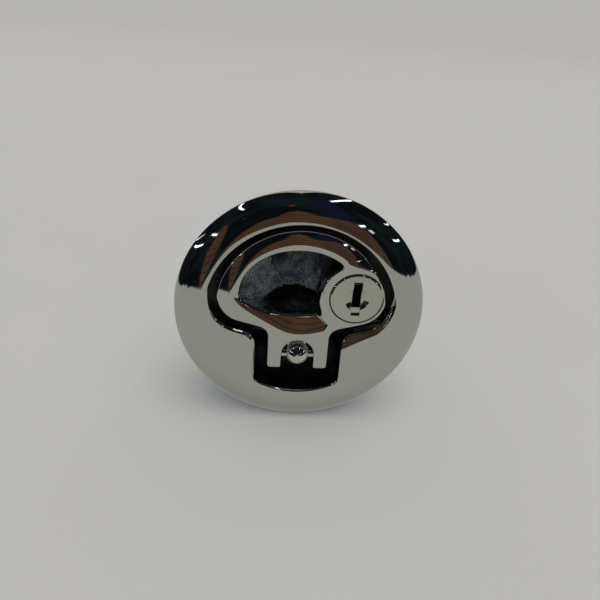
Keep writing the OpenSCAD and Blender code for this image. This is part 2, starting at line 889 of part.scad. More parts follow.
module bolt() {
    color("darkgray")
        as_fixed() {
            difference() {
                translate([-bolt_half_w, -bolt_reach, bolt_back_z])
                    cube([2 * bolt_half_w, bolt_len, bolt_t]);
                translate([-bolt_half_w - cut, -bolt_reach, bolt_front_z])
                    rotate([90, 0, 90])
                        linear_extrude(height = 2 * (bolt_half_w + cut))
                            polygon([
                                [-cut, -nose_tip_t],
                                [0, -nose_tip_t],
                                [nose_len, -bolt_t],
                                [nose_len, -bolt_t - cut],
                                [-cut, -bolt_t - cut]
                            ]);
            }
            both_legs()
                translate([-lug_w / 2, lug_low, bolt_front_z - cut])
                    cube([lug_w, lug_h, lug_room_z - arm_gap - bolt_front_z + cut]);
            for (side = [-1, 1]) {
                translate([side * spring_x, bolt_top - cut, (bolt_front_z + bolt_back_z) / 2])
                    rotate([-90, 0, 0])
                        cylinder(r = peg_r, h = peg_len + cut);
            }
        }
}

module bolt_spring(side) {
    color("lightgray")
        as_fixed()
            translate([side * spring_x, seat_up, (bolt_front_z + bolt_back_z) / 2])
                rotate([90, 0, 0])
                    coil_spring(spring_r, spring_wire_r, seat_up - bolt_top - seat_gap, spring_turns);
}

module bolt_spring_left() bolt_spring(-1);

module bolt_spring_right() bolt_spring(1);

/* Rear cover */

module rear_cover() {
    color("silver")
        as_fixed()
            difference() {
                post(barrel_r - cover_inset, cover_back_z, cover_front_z - seat_gap);
                for (i = [1:4]) {
                    at_cover_screw(i)
                        post(cover_screw_r + screw_gap, cover_back_z - cut, cover_front_z + cut);
                }
            }
}

module cover_screw(i) {
    color("gray")
        as_fixed()
            at_cover_screw(i)
                difference() {
                    union() {
                        post(cover_head_r, cover_back_z - seat_gap - cover_head_t, cover_back_z - seat_gap);
                        post(cover_screw_r, cover_back_z - cover_head_t, cover_back_z + cover_screw_len);
                    }
                    cross_recess(cover_head_r, cover_back_z - seat_gap - cover_head_t);
                }
}

// Cross recess in a screw head whose outer face is at the height given
module cross_recess(head_r, outer_z) {
    arm = head_r / 2;
    for (a = [0, 90]) {
        rotate([0, 0, a])
            translate([-arm, -arm / 4, outer_z - cut])
                cube([2 * arm, arm / 2, cut + recess_depth]);
    }
}

/* Lock */

function wafer_z(i) = shell_top_z - first_wafer - wafer_pitch * (i - 1);

module lock_shell() {
    groove_w = 2 * (wafer_half_w + 2 * wafer_gap);
    color("goldenrod")
        as_fixed()
            at_lock()
                difference() {
                    post(shell_r, shell_back_z, shell_top_z);
                    post(plug_r + run_gap, shell_back_z - cut, shell_top_z + cut);
                    translate([-groove_w / 2, -plug_r - groove_depth, shell_back_z + groove_end])
                        cube([
                            groove_w,
                            2 * (plug_r + groove_depth),
                            shell_top_z - shell_back_z - 2 * groove_end
                        ]);
                }
}

module keyway_outline(height) {
    translate([-slot_w / 2, -height / 2])
        square([slot_w, height]);
}

module lock_plug() {
    dimple_sphere_r = (dimple_r * dimple_r + dimple_depth * dimple_depth) / (2 * dimple_depth);
    color("silver")
        as_fixed()
            at_lock()
                difference() {
                    union() {
                        post(plug_face_r, plug_step_z, plug_top_z - plug_bevel);
                        translate([0, 0, plug_top_z - plug_bevel])
                            cylinder(r1 = plug_face_r, r2 = plug_face_r - plug_bevel, h = plug_bevel);
                        post(plug_r, shell_back_z - slide_gap, plug_step_z);
                        slab(tongue_back_z, shell_back_z)
                            tail_outline(0);
                    }
                    slab(plug_top_z - slot_depth, plug_top_z + cut)
                        keyway_outline(slot_h);
                    slab(shell_back_z + keyway_floor, plug_top_z + cut)
                        keyway_outline(keyway_h);
                    translate([0, 0, plug_top_z - dimple_depth + dimple_sphere_r])
                        sphere(r = dimple_sphere_r, $fn = 128);
                    for (i = [1:wafer_count]) {
                        wafer_slot(i);
                    }
                    post(tongue_screw_r + seat_gap, tongue_back_z - cut, screw_tip_z + tongue_screw_end);
                }
}

module wafer_slot(i) {
    half_w = wafer_half_w + wafer_gap;
    translate([-half_w, -plug_r - cut, wafer_z(i) - wafer_t / 2 - wafer_gap])
        cube([2 * half_w, 2 * (plug_r + cut), wafer_t + 2 * wafer_gap]);
}

// The plug's tail: a round bar with two flats
module tail_outline(grow) {
    intersection() {
        circle(r = tail_r + grow);
        translate([-tail_flat - grow, -tail_r - cut])
            square([2 * (tail_flat + grow), 2 * (tail_r + cut)]);
    }
}

// Brass plate with a window for the key and a shelf for its spring
module wafer(i) {
    color("goldenrod")
        as_fixed()
            at_lock()
                slab(wafer_z(i) - wafer_t / 2, wafer_z(i) + wafer_t / 2)
                    difference() {
                        intersection() {
                            translate([-wafer_half_w, -wafer_half_h])
                                square([2 * wafer_half_w, 2 * wafer_half_h]);
                            circle(r = plug_r - seat_gap);
                        }
                        translate([-slot_w / 2 - wafer_gap, -keyway_h / 2 + wafer_rim])
                            square([slot_w + 2 * wafer_gap, keyway_h - 2 * wafer_rim]);
                        spring_window_outline();
                    }
}

module spring_window_outline() {
    half_h = wafer_spring_len / 2 + seat_gap;
    translate([slot_w / 2 + wafer_gap, -half_h])
        square([wafer_half_w, 2 * half_h]);
}

module wafer_spring(i) {
    color("lightgray")
        as_fixed()
            at_lock()
                translate([spring_x_in_wafer, -wafer_spring_len / 2, wafer_z(i)])
                    rotate([-90, 0, 0])
                        coil_spring(wafer_spring_r, wafer_wire_r, wafer_spring_len, wafer_turns, 6, 10);
}

module locking_tongue() {
    color("darkgray")
        as_fixed()
            at_lock()
                slab(tongue_back_z, tongue_front_z)
                    difference() {
                        union() {
                            circle(r = tongue_hub_r);
                            polygon(smooth_path([
                                [-tongue_w / 2, 0, 0],
                                [-tongue_w / 2, -tongue_len, tongue_corner_r],
                                [tongue_w / 2, -tongue_len, tongue_corner_r],
                                [tongue_w / 2, 0, 0]
                            ]));
                        }
                        tail_outline(seat_gap);
                    }
}

module tongue_washer() {
    color("lightgray")
        as_fixed()
            at_lock()
                difference() {
                    post(washer_r, washer_back_z, tongue_back_z - seat_gap);
                    post(tongue_screw_r + screw_gap, washer_back_z - cut, tongue_back_z + cut);
                }
}

module tongue_screw() {
    head_z = washer_back_z - seat_gap;
    outer_z = head_z - tongue_head_t;
    color("gray")
        as_fixed()
            at_lock()
                difference() {
                    union() {
                        post(tongue_head_r, outer_z, head_z);
                        post(tongue_screw_r, outer_z, screw_tip_z);
                    }
                    cross_recess(tongue_head_r, outer_z);
                }
}

housing();
mounting_nut();
handle();
hinge_pin();
hinge_post();
post_nut();
bolt();
bolt_spring_left();
bolt_spring_right();
rear_cover();
for (i = [1:4]) cover_screw(i);
lock_shell();
lock_plug();
for (i = [1:wafer_count]) wafer(i);
for (i = [1:wafer_count]) wafer_spring(i);
locking_tongue();
tongue_washer();
tongue_screw();
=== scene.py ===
import math

import bmesh
import bpy
import numpy as np
from mathutils import Matrix, Vector
from mathutils.geometry import delaunay_2d_cdt
from mathutils.kdtree import KDTree


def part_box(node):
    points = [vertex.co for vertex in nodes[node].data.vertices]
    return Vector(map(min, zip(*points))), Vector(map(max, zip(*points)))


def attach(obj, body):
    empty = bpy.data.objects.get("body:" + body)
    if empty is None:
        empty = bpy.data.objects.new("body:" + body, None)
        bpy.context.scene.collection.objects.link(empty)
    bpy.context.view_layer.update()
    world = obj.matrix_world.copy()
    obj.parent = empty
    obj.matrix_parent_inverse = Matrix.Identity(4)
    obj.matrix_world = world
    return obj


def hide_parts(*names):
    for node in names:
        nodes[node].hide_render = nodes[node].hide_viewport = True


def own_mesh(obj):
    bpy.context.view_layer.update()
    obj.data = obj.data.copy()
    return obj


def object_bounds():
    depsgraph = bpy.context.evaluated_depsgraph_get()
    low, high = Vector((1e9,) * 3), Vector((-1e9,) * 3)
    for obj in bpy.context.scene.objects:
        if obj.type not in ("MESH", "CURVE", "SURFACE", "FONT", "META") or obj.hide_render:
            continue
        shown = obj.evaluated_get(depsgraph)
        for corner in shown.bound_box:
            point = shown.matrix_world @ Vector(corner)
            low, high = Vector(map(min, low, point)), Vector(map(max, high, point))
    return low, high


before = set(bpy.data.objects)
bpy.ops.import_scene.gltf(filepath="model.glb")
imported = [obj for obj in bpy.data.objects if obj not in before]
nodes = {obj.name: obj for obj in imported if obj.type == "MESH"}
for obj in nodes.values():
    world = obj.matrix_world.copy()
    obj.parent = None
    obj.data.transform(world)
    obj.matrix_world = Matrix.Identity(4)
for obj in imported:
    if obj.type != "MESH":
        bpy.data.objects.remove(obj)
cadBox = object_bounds()
scene = bpy.context.scene

# Sizes are in millimetres, in the latch's own face coordinates: x to the right, y up, z out of the panel.
mm = 0.001
floorHeight = cadBox[0].z / mm
panelFace = 0.0
print("stage 1: frame loaded,", len(nodes), "nodes, floor at", round(floorHeight, 2))


def toWorld(points):
    points = np.asarray(points, float)
    return np.stack([points[..., 0], -points[..., 2], points[..., 1]], -1)


# Outlines

def roundedPath(corners, steps=10):
    # closed outline through corners (x, y, radius)
    outline = []
    count = len(corners)
    for i, (x, y, radius) in enumerate(corners):
        here = np.array([x, y])
        if radius == 0:
            outline.append(here)
            continue
        before = np.array(corners[i - 1][:2]) - here
        after = np.array(corners[(i + 1) % count][:2]) - here
        u, v = before / np.linalg.norm(before), after / np.linalg.norm(after)
        half = math.acos(np.clip(u @ v, -1, 1)) / 2
        middle = here + (u + v) / np.linalg.norm(u + v) * radius / math.sin(half)
        start = here + u * radius / math.tan(half) - middle
        end = here + v * radius / math.tan(half) - middle
        first = math.atan2(start[1], start[0])
        sweep = (math.atan2(end[1], end[0]) - first + math.pi) % (2 * math.pi) - math.pi
        for k in range(steps + 1):
            a = first + sweep * k / steps
            outline.append(middle + radius * np.array([math.cos(a), math.sin(a)]))
    return np.array(outline)


def bothSides(right):
    return right + [(-x, y, radius) for x, y, radius in reversed(right)]


def evenly(outline, spacing):
    # the same closed outline with points a fixed distance apart
    closed = np.vstack([outline, outline[:1]])
    along = np.concatenate([[0], np.cumsum(np.linalg.norm(np.diff(closed, axis=0), axis=1))])
    count = max(12, int(round(along[-1] / spacing)))
    at = np.linspace(0, along[-1], count, endpoint=False)
    return np.stack([np.interp(at, along, closed[:, 0]), np.interp(at, along, closed[:, 1])], -1)


def clippedToCircle(outline, centre, radius):
    # points of the outline that lie outside the circle are drawn in to it
    away = outline - centre
    distance = np.linalg.norm(away, axis=1, keepdims=True)
    return centre + away * np.minimum(1, radius / np.maximum(distance, 1e-9))


def softened(outline, rounds):
    # takes the last kinks out of an outline whose points are evenly spaced
    for _ in range(rounds):
        outline = (np.roll(outline, 1, 0) + 2 * outline + np.roll(outline, -1, 0)) / 4
    return outline


def circleOutline(centre, radius, spacing):
    count = int(round(2 * math.pi * radius / spacing))
    a = np.linspace(0, 2 * math.pi, count, endpoint=False)
    return np.stack([centre[0] + radius * np.cos(a), centre[1] + radius * np.sin(a)], -1)


def counterClockwise(outline, wanted=True):
    x, y = outline[:, 0], outline[:, 1]
    area = np.sum(x * np.roll(y, -1) - y * np.roll(x, -1))
    return outline if (area > 0) == wanted else outline[::-1]


def intoMaterial(outline):
    # unit vectors square to the outline, to its left
    along = np.roll(outline, -1, 0) - np.roll(outline, 1, 0)
    along /= np.linalg.norm(along, axis=1, keepdims=True)
    return np.stack([-along[:, 1], along[:, 0]], -1)


def insideOf(loops, points):
    # even-odd test against all loops together
    found = np.zeros(len(points), bool)
    for loop in loops:
        x0, y0 = loop[:, 0], loop[:, 1]
        x1, y1 = np.roll(x0, -1), np.roll(y0, -1)
        for start in range(0, len(points), 4000):
            px = points[start:start + 4000, 0][:, None]
            py = points[start:start + 4000, 1][:, None]
            crosses = (y0 > py) != (y1 > py)
            with np.errstate(divide="ignore", invalid="ignore"):
                at = (x1 - x0) * (py - y0) / (y1 - y0) + x0
            found[start:start + 4000] ^= (np.sum(crosses & (px < at), axis=1) % 2).astype(bool)
    return found


def smoothStep(low, high, value):
    t = np.clip((value - low) / (high - low), 0, 1)
    return t * t * (3 - 2 * t)


# Surfaces: faces are gathered with the normal of each corner, and welded into one closed mesh

class Surface:
    def __init__(self):
        self.corners, self.normals, self.sizes, self.slots = [], [], [], []

    def add(self, corners, normals, slot=0):
        # corners: faces x corners x 3
        corners, normals = np.asarray(corners, float), np.asarray(normals, float)
        self.corners.append(corners.reshape(-1, 3))
        self.normals.append(normals.reshape(-1, 3))
        self.sizes.append(np.full(len(corners), corners.shape[1]))
        self.slots.append(np.full(len(corners), slot))

    def rows(self, rows, rowNormals, slot=0, closed=True):
        # a strip of quads between each pair of rows, each row a loop of points
        for low, high, lowNormals, highNormals in zip(rows, rows[1:], rowNormals, rowNormals[1:]):
            turn = [np.roll(a, -1, 0) for a in (low, high, lowNormals, highNormals)]
            faces = np.stack([low, turn[0], turn[1], high], 1)
            shades = np.stack([lowNormals, turn[2], turn[3], highNormals], 1)
            if not closed:
                faces, shades = faces[:-1], shades[:-1]
            self.add(faces, shades, slot)

    def cap(self, loops, height, slot=0, grid=None, down=False, creases=None):
        # fills the region between loops at the height that a function gives, with extra points along creases
        points = [loop for loop in loops]
        edges, count = [], 0
        for loop in loops:
            size = len(loop)
            edges += [(count + i, count + (i + 1) % size) for i in range(size)]
            count += size
        if grid:
            border = np.vstack(loops)
            low, high = border.min(0), border.max(0)
            xs = np.arange(low[0], high[0], grid)
            ys = np.arange(low[1], high[1], grid * math.sqrt(3) / 2)
            gx, gy = np.meshgrid(xs, ys)
            gx[1::2] += grid / 2
            inner = np.stack([gx.ravel(), gy.ravel()], -1)
            inner = inner[insideOf(loops, inner)]
            tree = KDTree(len(border))
            for i, p in enumerate(border):
                tree.insert((p[0], p[1], 0), i)
            tree.balance()
            if creases is not None:
                free = [tree.find((p[0], p[1], 0))[2] > 0.05 for p in creases]
                fine = creases[insideOf(loops, creases) & np.array(free)]
                points.append(fine)
                tree = KDTree(len(border) + len(fine))
                for i, p in enumerate(np.vstack([border, fine])):
                    tree.insert((p[0], p[1], 0), i)
                tree.balance()
            far = [tree.find((p[0], p[1], 0))[2] > 0.55 * grid for p in inner]
            points.append(inner[far])
        flat = [Vector(p) for p in np.vstack(points)]
        verts, _, faces, *_ = delaunay_2d_cdt(flat, edges, [], 0, 1e-7)
        at = np.array(verts)
        faces = np.array([f for f in faces if len(f) == 3])
        middle = at[faces].mean(1)
        faces = faces[insideOf(loops, middle)]
        z = height(at[:, 0], at[:, 1])
        placed = np.column_stack([at, z])
        shade = normalOf(height, at[:, 0], at[:, 1])
        if down:
            faces, shade = faces[:, ::-1], -shade
        self.add(placed[faces], shade[faces], slot)

    def finished(self, name, materials, body):
        corners, normals = np.vstack(self.corners), np.vstack(self.normals)
        sizes, slots = np.concatenate(self.sizes), np.concatenate(self.slots)
        keys = np.round(corners, 4)
        _, first, index = np.unique(keys, axis=0, return_index=True, return_inverse=True)
        index = index.ravel()
        starts = np.concatenate([[0], np.cumsum(sizes)[:-1]])
        faces, shades, kept = [], [], []
        for start, size, slot in zip(starts, sizes, slots):
            face, pick = [], []
            for k in range(start, start + size):
                if index[k] not in face:
                    face.append(index[k])
                    pick.append(k)
            if len(face) > 2:
                faces.append([int(i) for i in face])
                shades += pick
                kept.append(int(slot))
        mesh = bpy.data.meshes.new(name)
        mesh.from_pydata(toWorld(corners[first]) * mm, [], faces)
        mesh.polygons.foreach_set("material_index", kept)
        mesh.polygons.foreach_set("use_smooth", [True] * len(kept))
        shade = toWorld(normals[shades])
        shade /= np.maximum(np.linalg.norm(shade, axis=1, keepdims=True), 1e-9)
        mesh.normals_split_custom_set(shade.tolist())
        for material in materials:
            mesh.materials.append(material)
        piece = bpy.data.objects.new(name, mesh)
        scene.collection.objects.link(piece)
        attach(piece, body)
        return piece


def normalOf(height, x, y, step=0.01):
    slopeX = (height(x + step, y) - height(x - step, y)) / (2 * step)
    slopeY = (height(x, y + step) - height(x, y - step)) / (2 * step)
    normal = np.stack([-slopeX, -slopeY, np.ones_like(slopeX)], -1)
    return normal / np.linalg.norm(normal, axis=-1, keepdims=True)


def level(z):
    return lambda x, y: np.full_like(x, z, dtype=float)


def edgeRows(outline, height, fillet, bottom, steps=5):
    # wall from the bottom up, rounded over into the top; returns rows, their normals and the last loop
    inward = intoMaterial(outline)
    fillet = np.broadcast_to(fillet, len(outline))
    outward = np.column_stack([-inward, np.zeros(len(inward))])
    foot = np.column_stack([outline, np.full(len(outline), bottom)])
    rows, shades = [foot], [outward]
    for k in range(steps + 1):
        a = math.pi / 2 * k / steps
        at = outline + inward * fillet[:, None] * (1 - math.cos(a))
        z = height(at[:, 0], at[:, 1]) - fillet * (1 - math.sin(a))
        top = normalOf(height, at[:, 0], at[:, 1])
        rows.append(np.column_stack([at, z]))
        shades.append(outward * math.cos(a) + top * math.sin(a))
    return rows, shades, rows[-1][:, :2]


def turned(profile, centre=(0, 0), segments=96, smoothAngle=35):
    # revolves a profile of (radius, height) about an axis along z; the profile starts and ends on the axis
    profile = np.asarray(profile, float)
    surface = Surface()
    a = np.linspace(0, 2 * math.pi, segments, endpoint=False)
    around = np.stack([np.cos(a), np.sin(a)], -1)
    along = np.diff(profile, axis=0)
    lengths = np.linalg.norm(along, axis=1)
    facing = np.stack([along[:, 1], -along[:, 0]], -1) / np.maximum(lengths, 1e-9)[:, None]
    for i in range(len(along)):
        if lengths[i] < 1e-9:
            continue
        ends = []
        for k, neighbour in ((i, i - 1), (i + 1, i + 1)):
            normal = facing[i]
            if 0 <= neighbour < len(facing):
                if facing[neighbour] @ facing[i] > math.cos(math.radians(smoothAngle)):
                    normal = facing[i] + facing[neighbour]
            radius, z = profile[k]
            ring = np.column_stack([centre + around * radius, np.full(segments, z)])
            shade = np.column_stack([around * normal[0], np.full(segments, normal[1])])
            ends.append((ring, shade))
        surface.rows([ends[0][0], ends[1][0]], [ends[0][1], ends[1][1]])
    return surface


# Materials

def newMaterial(name):
    material = bpy.data.materials.new(name)
    material.use_nodes = True
    tree = material.node_tree
    shader = next(n for n in tree.nodes if n.type == "BSDF_PRINCIPLED")
    where = tree.nodes.new("ShaderNodeTexCoord")
    return material, tree, shader, where.outputs["Object"]


def noiseNode(tree, where, scale, detail=2.0, roughness=0.5, distortion=0.0):
    noise = tree.nodes.new("ShaderNodeTexNoise")
    noise.inputs["Scale"].default_value = scale
    noise.inputs["Detail"].default_value = detail
    noise.inputs["Roughness"].default_value = roughness
    noise.inputs["Distortion"].default_value = distortion
    tree.links.new(where, noise.inputs["Vector"])
    return noise.outputs["Fac"]


def rampNode(tree, value, stops):
    # stops: (position, grey value or colour)
    ramp = tree.nodes.new("ShaderNodeValToRGB")
    elements = ramp.color_ramp.elements
    while len(elements) < len(stops):
        elements.new(0.5)
    for element, (position, tone) in zip(elements, stops):
        element.position = position
        element.color = (tone, tone, tone, 1) if isinstance(tone, float) else (*tone, 1)
    tree.links.new(value, ramp.inputs["Fac"])
    return ramp.outputs["Color"]


def bumpNode(tree, height, strength, distance, normal=None):
    bump = tree.nodes.new("ShaderNodeBump")
    bump.inputs["Strength"].default_value = strength
    bump.inputs["Distance"].default_value = distance
    tree.links.new(height, bump.inputs["Height"])
    if normal:
        tree.links.new(normal, bump.inputs["Normal"])
    return bump.outputs["Normal"]


def metal(name, colour, darker, roughness, grain, bumpStrength, bumpDistance, detail=3.0):
    # metal whose colour and roughness vary a little, with a fine surface grain
    material, tree, shader, where = newMaterial(name)
    shader.inputs["Metallic"].default_value = 1.0
    blotch = noiseNode(tree, where, grain / 6, 3.0)
    tree.links.new(rampNode(tree, blotch, [(0.3, darker), (0.7, colour)]), shader.inputs["Base Color"])
    rough = rampNode(tree, noiseNode(tree, where, grain / 3, 4.0), [(0.35, roughness[0]), (0.65, roughness[1])])
    tree.links.new(rough, shader.inputs["Roughness"])
    if bumpStrength > 0:
        fine = noiseNode(tree, where, grain, detail, 0.6)
        tree.links.new(bumpNode(tree, fine, bumpStrength, bumpDistance), shader.inputs["Normal"])
    return material


chromeLook = {
    "colour": (0.63, 0.63, 0.61),
    "darker": (0.60, 0.60, 0.58),
    "roughness": (0.03, 0.055),
    "grain": 240,
}
castLook = {
    "colour": (0.31, 0.34, 0.385),
    "darker": (0.13, 0.145, 0.165),
    "bright": (0.40, 0.47, 0.56),
    # painted light: three spots in the cup where its metal turns matt and looks lighter
    "paintedLightSpots": [((-3.2, 10.3, -5.0), 5.0, 0.0), ((1.2, 10.3, -5.0), 5.0, 0.0), ((-12.5, 5.0, -4.0), 8.0, 0.3)],
    "roughness": (0.24, 0.34),
    "grain": 2600,
}
chromeFace = metal("chromeFace", chromeLook["colour"], chromeLook["darker"], chromeLook["roughness"],
                   chromeLook["grain"], 0.02, 0.0002, 1.0)
chromeLock = metal("chromeLock", (0.63, 0.62, 0.58), (0.58, 0.57, 0.53), (0.06, 0.10), 600, 0.03, 0.0001)


def castMetal(name, look):
    # chromed but unpolished casting, bright on its grains and dark between them
    material = metal(name, look["colour"], look["darker"], look["roughness"], look["grain"], 1.0, 0.00014, 2.0)
    tree = material.node_tree
    shader = next(n for n in tree.nodes if n.type == "BSDF_PRINCIPLED")
    where = tree.nodes.new("ShaderNodeTexCoord").outputs["Object"]
    grains = rampNode(tree, noiseNode(tree, where, look["grain"], 1.0), [(0.42, look["darker"]), (0.66, look["bright"])])
    patches = rampNode(tree, noiseNode(tree, where, look["grain"] / 9, 2.0), [(0.35, 0.35), (0.65, 1.0)])
    product = tree.nodes.new("ShaderNodeMix")
    product.data_type = "RGBA"
    product.blend_type = "MULTIPLY"
    product.inputs["Factor"].default_value = 1.0
    sockets = [i for i in product.inputs if i.type == "RGBA"]
    tree.links.new(grains, sockets[0])
    tree.links.new(patches, sockets[1])
    tree.links.new(next(o for o in product.outputs if o.type == "RGBA"), shader.inputs["Base Color"])
    # painted light: the cup's metal turns matt in three spots, so that it looks lighter there
    shine = None
    for spot, size, least in look["paintedLightSpots"]:
        gap = tree.nodes.new("ShaderNodeVectorMath")
        gap.operation = "DISTANCE"
        gap.inputs[1].default_value = toWorld(spot) * mm
        tree.links.new(where, gap.inputs[0])
        share = tree.nodes.new("ShaderNodeMath")
        share.operation = "DIVIDE"
        share.inputs[1].default_value = size * mm
        tree.links.new(gap.outputs["Value"], share.inputs[0])
        metallic = rampNode(tree, share.outputs[0], [(0.2, least), (1.0, 1.0)])
        if shine:
            both = tree.nodes.new("ShaderNodeMath")
            both.operation = "MULTIPLY"
            tree.links.new(shine, both.inputs[0])
            tree.links.new(metallic, both.inputs[1])
            metallic = both.outputs[0]
        shine = metallic
    tree.links.new(shine, shader.inputs["Metallic"])
    return material


def ballMetal(name):
    # plated ball, turned matt towards its outline as the camera sees it: painted light on its rim
    material = metal(name, (0.78, 0.78, 0.74), (0.72, 0.72, 0.68), (0.07, 0.11), 400, 0.02, 0.0001)
    tree = material.node_tree
    shader = next(n for n in tree.nodes if n.type == "BSDF_PRINCIPLED")
    facing = tree.nodes.new("ShaderNodeLayerWeight").outputs["Facing"]
    tree.links.new(rampNode(tree, facing, [(0.25, 1.0), (0.75, 0.35)]), shader.inputs["Metallic"])
    return material


castChrome = castMetal("castChrome", castLook)
ballChrome = ballMetal("ballChrome")
# near-black metal for the pocket, the gaps, the keyway and the backs that lie in shadow: painted shade, far darker
# than the casting's own colour
paintedShadeCast = metal("paintedShadeCast", (0.05, 0.05, 0.052), (0.02, 0.02, 0.022), (0.4, 0.55), 1500, 0.6, 0.0002)
dieCast = metal("dieCast", (0.58, 0.59, 0.60), (0.50, 0.51, 0.52), (0.28, 0.40), 900, 0.25, 0.0001)
platedSteel = metal("platedSteel", (0.60, 0.60, 0.61), (0.50, 0.50, 0.51), (0.20, 0.32), 1200, 0.15, 0.00006)
boltSteel = metal("boltSteel", (0.52, 0.53, 0.54), (0.44, 0.45, 0.46), (0.24, 0.36), 1400, 0.2, 0.00008)
springSteel = metal("springSteel", (0.40, 0.41, 0.43), (0.32, 0.33, 0.35), (0.22, 0.34), 1800, 0.1, 0.00004)
# brass darkened far below its own colour: painted shade on the wafers inside the keyway
waferBrass = metal("waferBrass", (0.14, 0.105, 0.055), (0.10, 0.075, 0.04), (0.34, 0.46), 1500, 0.1, 0.00005)
print("stage 2: materials")


# Flange: the domed ring round the opening

flange = {
    "radius": 31.5,
    "height": 5.0,
    "edge": 0.6,
    "domeWidth": 9.5,
    "openingFillet": 0.35,
    "fallFillet": 0.1,
    "under": 0.9,
    "spigot": 25.32,
}
opening = {
    "radius": 23.7,
    "up": 0.9,
    "halfWidth": 22.7,
    "shoulderDrop": 1.6,
    "shoulderRadius": 8.5,
    "shoulderSlope": 0.27,
    "pocketHalfWidth": 11.0,
    "pocketRadius": 21.55,
    "neckRadius": 4.0,
    "cornerRadius": 2.0,
}
# width of the rolled edge at angles round the flange, from its right side
rolledEdge = {
    "widths": [(-178, 0.7), (-165, 1.1), (-150, 1.3), (-128, 1.1), (-118, 0.4), (-90, 0.7), (-62, 0.4),
               (-50, 0.3), (2, 0.3), (10, 0.0), (170, 0.0)],
    "share": 0.8,
    "reach": 27.0,
}
# the right shoulder falls towards the opening from a line: points (x, y) of the line, from its lower end
shoulderFall = {
    "line": [(11.0, -8.6), (11.65, -8.15), (13.96, -6.75), (15.82, -5.7), (19.5, -3.75), (21.15, -1.85),
             (22.3, 0.2), (23.15, 2.43), (23.5, 4.6), (23.35, 6.2), (22.8, 7.4)],
    "slope": 0.28,
    "lean": 0.55,
    "lowAt": (19.5, -3.75),
    "sideSlope": 5.0,
    "endSlope": 0.5,
    "endUp": 7.2,
    "softness": 0.04,
    "left": 10.6,
}


def openingOutline(spacing):
    o = opening
    neckY = o["shoulderDrop"] + o["shoulderSlope"] * (o["halfWidth"] - o["pocketHalfWidth"])
    edgeAngle = math.asin(o["pocketHalfWidth"] / o["pocketRadius"])
    right = [
        (o["halfWidth"], 40, 0),
        (o["halfWidth"], -o["shoulderDrop"], o["shoulderRadius"]),
        (o["pocketHalfWidth"], -neckY, o["neckRadius"]),
        (o["pocketHalfWidth"], -o["pocketRadius"] * math.cos(edgeAngle), o["cornerRadius"]),
    ]
    steps = 8
    for k in range(1, steps + 1):
        a = edgeAngle * (1 - k / steps) + math.radians(0.5)
        right.append((o["pocketRadius"] * math.sin(a), -o["pocketRadius"] * math.cos(a), 0))
    outline = evenly(roundedPath(bothSides(right)), spacing / 4)
    outline = clippedToCircle(outline, np.array([0, o["up"]]), o["radius"])
    return counterClockwise(softened(evenly(outline, spacing), 3), False)


def hollow(inward, width, outerSlope, innerSlope):
    # depth of a hollow that starts steep at its outer edge and levels out over its width
    soft = 0.05
    u = soft * np.logaddexp(0, inward / soft)
    return outerSlope * u - (outerSlope - innerSlope) * u * u / (2 * width)


def distanceTo(outline, x, y):
    # distance from points to a closed outline
    shape = np.shape(x)
    points = np.column_stack([np.ravel(x), np.ravel(y)])
    start = outline[None]
    along = np.roll(outline, -1, 0)[None] - start
    lengths = np.sum(along * along, 2)
    nearest = np.empty(len(points))
    for first in range(0, len(points), 3000):
        away = points[first:first + 3000, None] - start
        at = np.clip(np.sum(away * along, 2) / lengths, 0, 1)
        gap = away - along * at[..., None]
        nearest[first:first + 3000] = np.sqrt(np.min(np.sum(gap * gap, 2), 1))
    return nearest.reshape(shape)


def rolledDepth(x, y):
    # the flange rolls over into the opening
    h = rolledEdge
    x, y = np.asarray(x, float), np.asarray(y, float)
    around = np.degrees(np.arctan2(y, x))
    width = np.interp(around, [a for a, _ in h["widths"]], [w for _, w in h["widths"]], period=360)
    near = (np.hypot(x, y) < h["reach"]) & (width > 0.02)
    depth = np.zeros(x.shape)
    if near.any():
        w = width[near]
        inward = np.clip(w - distanceTo(openingLoop, x[near], y[near]), 0, h["share"] * w)
        depth[near] = w - np.sqrt(w * w - inward * inward)
    return depth


def softLeast(values, softness):
    # the smallest of several arrays, rounded where they cross
    values = np.stack(values)
    least = values.min(0)
    return least - softness * np.log(np.exp(-(values - least) / softness).sum(0))


def fallDepth(x, y):
    # the right shoulder's fall: a leaning plane, a steep side along the line and an upper end
    h = shoulderFall
    x, y = np.asarray(x, float), np.asarray(y, float)
    across, upward = fallLine
    side = np.interp(y, upward, across)
    lean = np.interp(y, upward, np.gradient(across, upward))
    inward = (side - x) / np.sqrt(1 + lean * lean)
    plane = h["slope"] * (y - h["lowAt"][1] - h["lean"] * (x - h["lowAt"][0]))
    depth = softLeast([plane, h["sideSlope"] * inward, h["endSlope"] * (h["endUp"] - y)], h["softness"])
    return np.where(x > h["left"], np.maximum(depth, 0), 0)


def smoothLine(points, window=0.9, step=0.02):
    # x as a smooth function of y along a line that climbs
    ys = np.arange(points[0][1] - 2 * window, points[-1][1] + 2 * window, step)
    xs = np.interp(ys, [p[1] for p in points], [p[0] for p in points])
    count = int(window / step) | 1
    weights = np.hanning(count + 2)[1:-1]
    padded = np.pad(xs, count // 2, mode="edge")
    return np.convolve(padded, weights / weights.sum(), "valid"), ys


def domeHeight(x, y):
    f = flange
    u = np.clip((np.hypot(x, y) - (f["radius"] - f["domeWidth"])) / f["domeWidth"], 0, 0.9999)
    return f["edge"] + (f["height"] - f["edge"]) * np.sqrt(1 - u * u) - rolledDepth(x, y) - fallDepth(x, y)


openingLoop = openingOutline(0.25)
fallLine = smoothLine(shoulderFall["line"])


def besideLine(line, offsets):
    # rows of points on both sides of an open line
    along = np.gradient(line, axis=0)
    along /= np.linalg.norm(along, axis=1, keepdims=True)
    across = np.stack([-along[:, 1], along[:, 0]], -1)
    return np.vstack([line + across * offset for offset in offsets])


